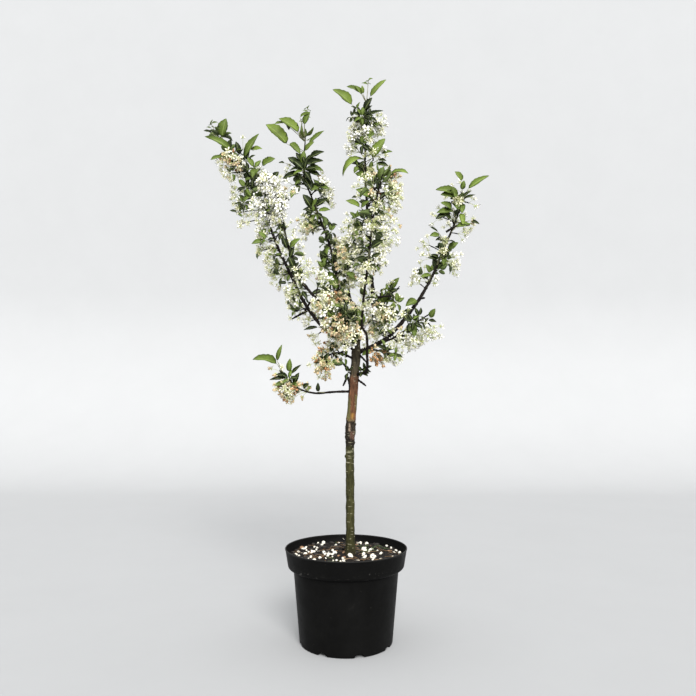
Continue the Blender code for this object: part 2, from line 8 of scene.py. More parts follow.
import bpy
import numpy as np
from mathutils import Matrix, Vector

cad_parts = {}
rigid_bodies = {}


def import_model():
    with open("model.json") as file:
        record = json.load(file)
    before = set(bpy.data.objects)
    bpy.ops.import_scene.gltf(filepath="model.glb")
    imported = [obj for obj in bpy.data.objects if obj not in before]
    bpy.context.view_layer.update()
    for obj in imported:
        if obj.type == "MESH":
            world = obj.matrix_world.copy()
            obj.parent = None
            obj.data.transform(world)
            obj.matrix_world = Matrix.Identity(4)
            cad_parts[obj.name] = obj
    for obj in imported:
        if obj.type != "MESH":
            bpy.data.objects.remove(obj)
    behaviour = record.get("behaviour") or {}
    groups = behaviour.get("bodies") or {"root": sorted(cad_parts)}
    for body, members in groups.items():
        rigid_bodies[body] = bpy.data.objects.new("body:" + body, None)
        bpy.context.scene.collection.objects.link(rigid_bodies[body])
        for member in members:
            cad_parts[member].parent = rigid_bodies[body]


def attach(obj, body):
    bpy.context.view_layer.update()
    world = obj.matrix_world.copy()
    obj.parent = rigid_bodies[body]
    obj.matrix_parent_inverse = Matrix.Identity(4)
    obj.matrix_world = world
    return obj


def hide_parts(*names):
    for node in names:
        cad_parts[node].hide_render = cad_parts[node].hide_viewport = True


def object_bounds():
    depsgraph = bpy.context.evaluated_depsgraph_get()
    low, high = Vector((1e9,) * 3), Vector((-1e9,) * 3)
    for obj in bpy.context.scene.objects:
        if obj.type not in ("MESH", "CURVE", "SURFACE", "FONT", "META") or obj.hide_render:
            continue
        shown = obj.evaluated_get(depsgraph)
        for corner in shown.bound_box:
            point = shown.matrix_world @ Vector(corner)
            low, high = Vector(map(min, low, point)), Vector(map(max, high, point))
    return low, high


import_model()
cad_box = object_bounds()

bl_info = {
    "name": "Potted fruit tree",
    "version": (1, 0, 0),
    "blender": (4, 5, 0),
    "location": "View3D > Sidebar > Fruit tree",
    "description": "Grows the bark, leaves, blossom, potting mix and pot of a small apple tree",
    "category": "Add Mesh",
}

TAU = 2 * math.pi
GOLDEN_ANGLE = math.radians(137.508)
UP = np.array((0.0, 0.0, 1.0))
DEPTH = np.array((0.0, 1.0, 0.0))

# The courses of trunk and boughs, as in the part's source: (x, y, z) in metres
TRUNK_COURSE = (
    (0.010, -0.022, 0.1963), (0.009, -0.016, 0.364), (0.009, -0.012, 0.455),
    (0.014, -0.008, 0.536), (0.021, -0.003, 0.622), (0.026, 0.000, 0.686),
    (0.033, 0.006, 0.716),
)
STEM_FOOT = TRUNK_COURSE[0]

# The stem's radius, as in the source: below its taper and at the fork, where the taper starts,
# the flare at its foot as a share of the radius and how soon it fades, and the swellings of the
# graft, the scion's cut and the collar: (height, lift, spread)
STEM_RADIUS, FORK_RADIUS, TAPER_START = 0.0097, 0.0052, 0.640
FLARE, FLARE_FADE = 0.42, 0.018
SWELLINGS = ((0.478, 0.0020, 0.020), (0.560, 0.0013, 0.055), (0.655, 0.0020, 0.016))

# Knobs on the stem where twigs were cut: (height, angle round the stem, lift)
KNOBS = (
    (0.418, 0.2, 0.0028), (0.449, 3.0, 0.0022), (0.461, 0.1, 0.0026), (0.492, 2.9, 0.0022),
    (0.505, 4.4, 0.0018), (0.352, 4.0, 0.0012), (0.290, 5.6, 0.0010), (0.330, 1.4, 0.0012),
    (0.512, 5.0, -0.0016), (0.585, 2.4, 0.0016), (0.600, 0.6, 0.0014), (0.640, 3.6, 0.0018),
)

# Between which heights the stem has pores
PORE_HEIGHTS = (0.205, 0.47)

# Patches of bark in front: (bottom, top, soft edge), (left, right, soft edge), colour
BARK_PATCHES = (
    ((0.506, 0.548, 0.010), (0.001, 0.0095, 0.0015), (0.105, 0.098, 0.038)),
    ((0.524, 0.556, 0.006), (0.0205, 0.0240, 0.0010), (0.095, 0.085, 0.032)),
    ((0.505, 0.516, 0.003), (0.0125, 0.0170, 0.0015), (0.260, 0.140, 0.035)),
    ((0.5005, 0.5020, 0.0008), (0.0085, 0.0185, 0.0015), (0.330, 0.250, 0.130)),
    ((0.459, 0.474, 0.003), (0.0120, 0.0180, 0.0020), (0.150, 0.085, 0.062)),
    ((0.476, 0.492, 0.002), (0.0060, 0.0085, 0.0010), (0.260, 0.200, 0.150)),
    ((0.4346, 0.4354, 0.0006), (0.001, 0.0150, 0.002), (0.190, 0.185, 0.120)),
    ((0.4290, 0.4296, 0.0006), (0.001, 0.0150, 0.002), (0.170, 0.165, 0.100)),
)

# The pot's outline: the radii of the step under the rim band, where the step turns and where
# the band starts, the rounding of the foot, the floor's thickness, and the radius of the disc
# that closes the floor's middle
STEP_RADIUS, STEP_END, BAND_RADIUS = 0.1205, 0.1270, 0.1335
FOOT_ROUND = 0.0035
FLOOR_TOP, HUB_RADIUS = 0.012, 0.012

# The drain notches' height and half their width, and the share of a turn to the first one
NOTCH_HEIGHT, NOTCH_HALF, NOTCH_START = 0.0078, 0.011, 0.35

# How far out the mix's litter lies, and the height of the mix's underside
LITTER_REACH = 0.127
MIX_FLOOR = 0.014

# How many green threads and fallen petals lie on the mix, and where perlite, chips and threads
# gather: (x, y, spread, share of them)
THREADS, FALLEN_PETALS = 46, 18
PERLITE_PATCHES = (
    (-0.092, 0.015, 0.022, 0.26), (-0.075, -0.050, 0.018, 0.10), (-0.033, -0.022, 0.008, 0.06),
    (-0.003, -0.062, 0.012, 0.06), (0.034, 0.088, 0.010, 0.08), (0.053, 0.024, 0.011, 0.10),
    (0.054, -0.040, 0.013, 0.08),
)
CHIP_PATCHES = ((-0.050, 0.050, 0.012, 0.08),)
THREAD_PATCHES = ((0.055, 0.045, 0.022, 0.6),)

# A bough leaves its parent at a share of the parent's line. It is bare up to the share "bare".
# Its masses are (node, share where it ends, share of spurs in blossom, how far faded, distance
# between spurs).
Bough = namedtuple("Bough", "name parent leaves_at course radii bare masses")
Mass = namedtuple("Mass", "node end blossom fade spacing")

BOUGHS = (
    Bough("leader", "trunk", 1.0,
          ((0.045, 0.016, 0.746), (0.064, 0.034, 0.800), (0.057, 0.045, 0.900),
           (0.051, 0.040, 1.026), (0.046, 0.030, 1.124), (0.052, 0.016, 1.285)),
          (0.0048, 0.0014), 0.17,
          (("leader_lower", 0.42, 0.50, 0.40, 0.040), ("leader_middle", 0.70, 0.50, 0.40, 0.023),
           ("leader_tip", 1.0, 0.45, 0.15, 0.030))),
    Bough("centre_bough", "trunk", 0.785,
          ((0.046, -0.030, 0.614), (0.048, -0.046, 0.655), (0.047, -0.058, 0.694),
           (0.036, -0.064, 0.714), (0.037, -0.074, 0.745), (0.041, -0.088, 0.790),
           (0.050, -0.115, 0.860), (0.060, -0.142, 0.950), (0.078, -0.168, 1.030)),
          (0.0033, 0.0014), 0.44,
          (("centre_lower", 0.72, 0.80, 0.35, 0.028), ("centre_tip", 1.0, 0.55, 0.45, 0.022))),
    Bough("left_bough", "trunk", 0.900,
          ((-0.016, 0.010, 0.690), (-0.061, 0.030, 0.728), (-0.104, 0.050, 0.787),
           (-0.140, 0.070, 0.862), (-0.176, 0.085, 0.940), (-0.214, 0.090, 1.041),
           (-0.258, 0.080, 1.134), (-0.324, 0.064, 1.202)),
          (0.0050, 0.0014), 0.24,
          (("left_lower", 0.50, 0.50, 0.40, 0.036), ("left_middle", 0.76, 0.75, 0.10, 0.020),
           ("left_tip", 1.0, 0.0, 0.35, 0.024))),
    Bough("left_inner_bough", "trunk", 0.940,
          ((-0.003, -0.032, 0.711), (-0.041, -0.057, 0.750), (-0.079, -0.080, 0.788),
           (-0.105, -0.100, 0.825), (-0.128, -0.120, 0.888), (-0.144, -0.135, 0.962),
           (-0.160, -0.146, 1.020)),
          (0.0040, 0.0014), 0.26,
          (("left_inner_lower", 0.62, 0.70, 0.30, 0.034),
           ("left_inner_tip", 1.0, 0.75, 0.10, 0.023))),
    Bough("left_centre_bough", "trunk", 0.965,
          ((0.007, 0.030, 0.736), (-0.015, 0.060, 0.785), (-0.026, 0.100, 0.871),
           (-0.048, 0.130, 0.961), (-0.089, 0.160, 1.076), (-0.114, 0.170, 1.150),
           (-0.110, 0.168, 1.255)),
          (0.0042, 0.0014), 0.18,
          (("left_centre_lower", 0.46, 0.65, 0.65, 0.024),
           ("left_centre_middle", 0.72, 0.35, 0.40, 0.022),
           ("left_centre_tip", 1.0, 0.0, 0.30, 0.034))),
    Bough("back_bough", "trunk", 0.930,
          ((0.020, 0.050, 0.752), (0.006, 0.100, 0.825), (0.002, 0.150, 0.916),
           (0.022, 0.185, 1.007)),
          (0.0038, 0.0014), 0.24,
          (("back_lower", 0.60, 0.50, 0.30, 0.044), ("back_tip", 1.0, 0.65, 0.35, 0.022))),
    Bough("right_bough", "trunk", 0.885,
          ((0.064, 0.010, 0.675), (0.100, 0.020, 0.698), (0.144, 0.040, 0.746),
           (0.187, 0.060, 0.806), (0.222, 0.075, 0.871), (0.246, 0.085, 0.929),
           (0.270, 0.090, 0.982), (0.301, 0.093, 1.062)),
          (0.0056, 0.0014), 0.78,
          (("right_lower", 0.78, 0.35, 0.15, 0.050), ("right_tip", 1.0, 0.20, 0.15, 0.040))),
    Bough("right_low_limb", "right_bough", 0.115,
          ((0.102, -0.020, 0.688), (0.124, -0.040, 0.699), (0.152, -0.062, 0.718),
           (0.190, -0.080, 0.742)),
          (0.0030, 0.0013), 0.50, (("right_low_spray", 1.0, 0.40, 0.10, 0.050),)),
    Bough("fork_rise_limb", "right_bough", 0.190,
          ((0.100, 0.040, 0.728), (0.096, 0.056, 0.762), (0.094, 0.062, 0.795)),
          (0.0026, 0.0013), 0.28, (("fork_rise_spray", 1.0, 0.60, 0.45, 0.024),)),
    Bough("fork_low_right_limb", "right_bough", 0.045,
          ((0.066, -0.016, 0.664), (0.090, -0.036, 0.657), (0.124, -0.056, 0.650)),
          (0.0026, 0.0013), 0.36, (("fork_low_right_spray", 0.85, 0.40, 0.35, 0.050),)),
    Bough("inner_right_limb", "leader", 0.150,
          ((0.085, 0.056, 0.800), (0.108, 0.076, 0.808), (0.134, 0.090, 0.832)),
          (0.0024, 0.0013), 0.36, (("inner_right_spray", 1.0, 0.30, 0.20, 0.060),)),
    Bough("fork_front_limb", "trunk", 0.912,
          ((0.014, -0.034, 0.690), (-0.004, -0.058, 0.708), (-0.022, -0.078, 0.735)),
          (0.0030, 0.0013), 0.34, (("fork_front_spray", 1.0, 0.80, 0.60, 0.022),)),
    Bough("fork_left_limb", "trunk", 0.855,
          ((-0.012, -0.018, 0.656), (-0.035, -0.032, 0.653), (-0.062, -0.045, 0.634)),
          (0.0028, 0.0013), 0.50, (("fork_left_spray", 1.0, 0.60, 0.75, 0.024),)),
    Bough("low_left_limb", "trunk", 0.712,
          ((-0.028, -0.030, 0.566), (-0.069, -0.045, 0.563), (-0.102, -0.055, 0.571),
           (-0.124, -0.060, 0.587), (-0.150, -0.064, 0.615)),
          (0.0030, 0.0013), 0.66, (("low_left_spray", 1.0, 0.50, 0.75, 0.060),)),
)

# The width of the camera's sensor in millimetres
SENSOR_WIDTH = 36.0

# Marks read off the photograph, in its pixels: across from the left, down from the top.
# The picture has this many on each side.
PHOTO_SIDE = 696

# Single leaves, by bough: (foot across, foot down, tip across, tip down, arch in radians, kind).
# Kinds are 0 dark (darkened as painted shade), 1 full green and 2 young, with 3 added for a broad leaf
# and 6 for a narrow one.
VIEW_LEAVES = {
    "left_bough": (
        (240, 155, 236, 142, 0.4, 0), (231, 150, 205, 137, 0.8, 7), (222, 137, 226, 119, 0.4, 4),
        (244, 158, 259, 134, 0.5, 7), (262, 166, 275, 159, 0.4, 4), (222, 157, 211, 160, 0.5, 1),
        (212, 133, 204, 131, 0.4, 0), (265, 241, 252, 244, 0.4, 1), (250, 150, 262, 149, 0.3, 2),
        (234, 158, 229, 163, 0.3, 0), (296, 312, 290, 309, 0.3, 1), (318, 327, 304, 330, 0.3, 6),
    ),
    "left_inner_bough": (
        (290, 248, 300, 239, 0.5, 1), (283, 229, 280, 219, 0.3, 3), (285, 239, 286, 229, 0.3, 3),
        (287, 248, 283, 238, 0.3, 3), (290, 258, 294, 247, 0.3, 0), (294, 268, 289, 257, 0.3, 3),
        (298, 277, 301, 267, 0.3, 0), (302, 283, 296, 273, 0.3, 0), (302, 291, 307, 299, 0.3, 0),
    ),
    "left_centre_bough": (
        (287, 144, 266, 125, 0.7, 2), (290, 143, 300, 154, 0.5, 1), (299, 132, 279, 119, 0.6, 2),
        (300, 117, 310, 113, 0.3, 1), (304, 125, 310, 112, 0.5, 1), (309, 144, 324, 131, 0.4, 7),
        (305, 151, 314, 142, 0.4, 2), (309, 158, 324, 152, 0.3, 0), (284, 123, 275, 124, 0.3, 1),
        (297, 187, 291, 198, 0.4, 1), (328, 247, 313, 240, 0.6, 2), (326, 272, 338, 290, 0.4, 1),
        (326, 263, 320, 251, 0.3, 3), (288, 122, 289, 130, 0.4, 0), (300, 168, 288, 158, 0.4, 3),
        (303, 166, 304, 151, 0.3, 1), (305, 165, 323, 161, 0.3, 0), (306, 168, 323, 171, 0.3, 1),
        (308, 172, 320, 176, 0.3, 0), (300, 174, 283, 179, 0.4, 0), (299, 178, 286, 186, 0.4, 4),
        (304, 178, 312, 191, 0.4, 3), (302, 164, 296, 153, 0.3, 0), (285, 163, 279, 163, 0.3, 0),
        (301, 180, 295, 185, 0.4, 1), (311, 187, 328, 188, 0.3, 0), (311, 207, 303, 195, 0.4, 3),
        (316, 206, 327, 200, 0.4, 3), (314, 210, 303, 210, 0.3, 0), (313, 212, 304, 217, 0.3, 0),
        (318, 211, 330, 210, 0.2, 1), (316, 213, 323, 219, 0.3, 0), (312, 207, 317, 199, 0.3, 1),
        (315, 214, 311, 222, 0.3, 1), (327, 250, 321, 256, 0.3, 0), (330, 262, 324, 268, 0.3, 0),
        (348, 313, 342, 307, 0.3, 0), (350, 322, 343, 318, 0.3, 1), (347, 330, 341, 323, 0.3, 0),
    ),
    "leader": (
        (352, 105, 333, 90, 0.5, 2), (370, 97, 386, 80, 0.5, 8), (361, 93, 347, 87, 0.5, 1),
        (362, 95, 355, 86, 0.4, 1), (363, 94, 362, 86, 0.3, 2), (364, 111, 372, 98, 0.4, 0),
        (366, 116, 383, 111, 0.3, 6), (368, 126, 379, 125, 0.3, 4), (369, 129, 371, 140, 0.4, 4),
        (372, 158, 385, 139, 0.4, 2), (381, 154, 392, 152, 0.4, 1), (364, 160, 343, 177, 1.9, 8),
        (391, 174, 408, 174, 0.9, 2), (355, 173, 368, 180, 0.3, 1), (360, 207, 346, 201, 0.5, 2),
        (371, 198, 356, 190, 0.4, 4), (361, 208, 369, 201, 0.4, 1), (361, 214, 352, 219, 0.3, 1),
        (388, 194, 397, 202, 0.3, 0), (362, 242, 351, 236, 0.5, 2), (346, 272, 357, 281, 0.3, 1),
        (362, 165, 352, 164, 0.3, 0), (376, 164, 388, 166, 0.3, 0), (378, 160, 386, 161, 0.2, 0),
        (366, 210, 364, 219, 0.4, 0), (358, 197, 352, 198, 0.3, 0), (358, 150, 354, 147, 0.3, 0),
        (365, 112, 372, 106, 0.3, 0), (360, 113, 357, 107, 0.3, 0),
    ),
    "centre_bough": (
        (371, 248, 383, 241, 0.4, 3), (371, 258, 381, 254, 0.4, 0), (373, 221, 382, 226, 0.3, 6),
        (376, 233, 383, 237, 0.3, 0), (369, 250, 357, 248, 0.3, 6), (368, 258, 355, 259, 0.3, 6),
        (371, 264, 376, 268, 0.3, 0), (372, 228, 376, 236, 0.3, 0),
    ),
    "fork_front_limb": (
        (361, 326, 358, 309, 0.3, 4), (343, 318, 340, 305, 0.3, 0), (352, 322, 346, 309, 0.3, 0),
        (346, 322, 339, 316, 0.3, 0), (354, 318, 357, 309, 0.3, 0), (343, 336, 336, 333, 0.3, 0),
        (349, 335, 353, 327, 0.3, 0), (341, 322, 333, 320, 0.3, 0),
    ),
    "inner_right_limb": ((390, 290, 399, 278, 0.3, 1), (388, 290, 383, 281, 0.2, 1)),
    "right_bough": (
        (462, 181, 455, 172, 0.4, 5), (462, 190, 464, 181, 0.4, 4), (468, 189, 489, 176, 0.6, 7),
        (457, 198, 441, 195, 0.5, 4), (456, 193, 436, 190, 0.4, 1), (455, 198, 453, 187, 0.3, 4),
        (460, 199, 471, 191, 0.3, 6), (463, 199, 475, 195, 0.3, 6), (452, 209, 441, 203, 0.4, 4),
        (451, 201, 458, 209, 0.3, 0), (461, 203, 462, 213, 0.3, 4), (453, 211, 437, 213, 0.3, 1),
        (451, 213, 436, 219, 0.3, 0), (461, 213, 463, 225, 0.4, 2), (459, 224, 468, 224, 0.2, 0),
        (470, 221, 479, 224, 0.2, 0), (456, 227, 470, 224, 0.3, 1), (438, 232, 430, 227, 0.3, 6),
        (440, 236, 430, 236, 0.4, 4), (448, 250, 458, 243, 0.4, 4), (443, 250, 435, 247, 0.4, 0),
        (439, 258, 431, 255, 0.4, 0), (438, 259, 428, 258, 0.2, 0), (440, 259, 447, 256, 0.3, 0),
        (430, 273, 426, 265, 0.4, 4), (431, 272, 432, 265, 0.2, 2), (431, 275, 421, 277, 0.3, 1),
        (417, 300, 406, 306, 0.4, 4), (411, 309, 398, 317, 0.2, 6), (406, 315, 398, 320, 0.2, 6),
    ),
    "right_low_limb": (
        (430, 318, 435, 309, 0.4, 4), (414, 324, 414, 337, 0.3, 1), (412, 323, 406, 329, 0.3, 0),
        (411, 321, 406, 317, 0.3, 0), (428, 320, 436, 322, 0.2, 0), (424, 326, 421, 322, 0.3, 0),
        (417, 316, 421, 311, 0.3, 0),
    ),
    "fork_rise_limb": (
        (384, 330, 379, 334, 0.3, 0), (386, 326, 391, 322, 0.3, 0), (386, 330, 384, 337, 0.3, 0),
        (384, 325, 378, 323, 0.3, 0),
    ),
    "fork_low_right_limb": ((387, 350, 377, 346, 0.4, 0), (392, 353, 399, 357, 0.3, 0)),
    "fork_left_limb": (
        (331, 352, 334, 342, 0.4, 0), (323, 366, 329, 353, 0.4, 0), (349, 372, 341, 370, 0.4, 1),
    ),
    "low_left_limb": (
        (277, 364, 253, 360, 0.9, 1), (277, 361, 282, 345, 0.6, 7), (289, 372, 290, 359, 0.3, 1),
        (291, 374, 301, 365, 0.3, 6), (294, 384, 299, 373, 0.4, 0), (286, 378, 270, 380, 0.6, 6),
        (288, 376, 276, 375, 0.3, 0), (286, 382, 275, 386, 0.4, 1), (303, 388, 309, 384, 0.4, 3),
        (295, 386, 298, 393, 0.3, 0), (318, 392, 318, 383, 0.3, 0), (292, 386, 300, 384, 0.3, 0),
    ),
}

# Clusters of leaves, by bough: (across, down, leaves, leaf length in pixels, kind)
LEAF_STARS = {
    "left_bough": (
        (247, 161, 6, 9, 0), (254, 168, 4, 9, 1), (232, 173, 3, 7, 0), (252, 178, 6, 8, 0),
        (246, 188, 8, 9, 0), (256, 190, 5, 8, 0), (243, 203, 6, 8, 1), (238, 213, 3, 7, 0),
        (279, 208, 3, 5, 0), (267, 240, 3, 8, 0), (279, 233, 4, 6, 0), (269, 227, 3, 7, 1),
        (274, 254, 4, 6, 0), (291, 256, 4, 7, 0), (294, 268, 5, 7, 0), (288, 283, 3, 7, 1),
        (293, 294, 4, 6, 0), (306, 297, 3, 5, 0), (294, 311, 3, 6, 0),
    ),
    "left_inner_bough": (
        (266, 202, 5, 8, 0), (278, 209, 3, 6, 0), (281, 226, 4, 7, 0), (265, 212, 2, 5, 0),
    ),
    "left_centre_bough": (
        (304, 170, 7, 12, 0), (305, 163, 5, 9, 0), (314, 213, 4, 7, 0), (331, 232, 6, 8, 0),
        (327, 257, 6, 9, 0), (324, 268, 5, 8, 1), (332, 264, 4, 8, 0), (340, 270, 4, 7, 0),
        (322, 290, 3, 9, 0), (345, 313, 5, 8, 0), (349, 321, 4, 8, 1), (320, 187, 3, 8, 1),
    ),
    "leader": (
        (352, 117, 5, 7, 0), (362, 117, 8, 9, 0), (357, 110, 3, 7, 0), (368, 118, 5, 8, 0),
        (362, 126, 4, 7, 0), (371, 124, 3, 7, 1), (362, 145, 6, 8, 0), (358, 166, 3, 7, 0),
        (378, 180, 7, 9, 0), (386, 184, 5, 8, 0), (386, 192, 3, 8, 0), (366, 213, 3, 8, 0),
        (356, 218, 3, 7, 1), (374, 234, 4, 6, 0), (382, 204, 3, 6, 1), (364, 248, 4, 7, 0),
        (366, 259, 3, 7, 0), (372, 300, 6, 6, 0), (374, 264, 4, 6, 0), (357, 238, 3, 6, 1),
    ),
    "inner_right_limb": ((388, 292, 7, 8, 0), (396, 303, 5, 8, 1)),
    "fork_front_limb": (
        (346, 313, 6, 8, 0), (350, 321, 4, 7, 0), (342, 307, 3, 6, 0), (339, 333, 3, 5, 0),
        (331, 331, 3, 5, 0),
    ),
    "fork_rise_limb": (
        (385, 326, 7, 8, 0), (391, 314, 3, 5, 0), (380, 305, 3, 5, 0), (372, 320, 3, 5, 0),
    ),
    "right_low_limb": ((413, 322, 7, 9, 0), (419, 316, 5, 7, 0), (424, 323, 3, 5, 0)),
    "fork_low_right_limb": ((396, 354, 4, 6, 0),),
    "fork_left_limb": ((345, 357, 3, 6, 0),),
    "right_bough": ((457, 201, 4, 7, 1), (443, 258, 4, 6, 0)),
    "low_left_limb": ((289, 379, 5, 7, 0),),
}

# Where blossom has withered to tan and orange, and where it is freshest: (x, z, radius, fade)
FADE_SPOTS = (
    (-0.278, 1.130, 0.034, 0.70), (-0.026, 0.701, 0.040, 0.74), (-0.015, 0.796, 0.026, 0.90),
    (0.077, 0.641, 0.026, 1.10), (0.127, 1.066, 0.036, 0.65), (-0.048, 0.641, 0.045, 0.75),
    (-0.141, 0.566, 0.045, 0.60), (-0.169, 1.014, 0.100, 0.02), (0.186, 0.701, 0.050, 0.08),
    (0.224, 0.904, 0.080, 0.12),
)

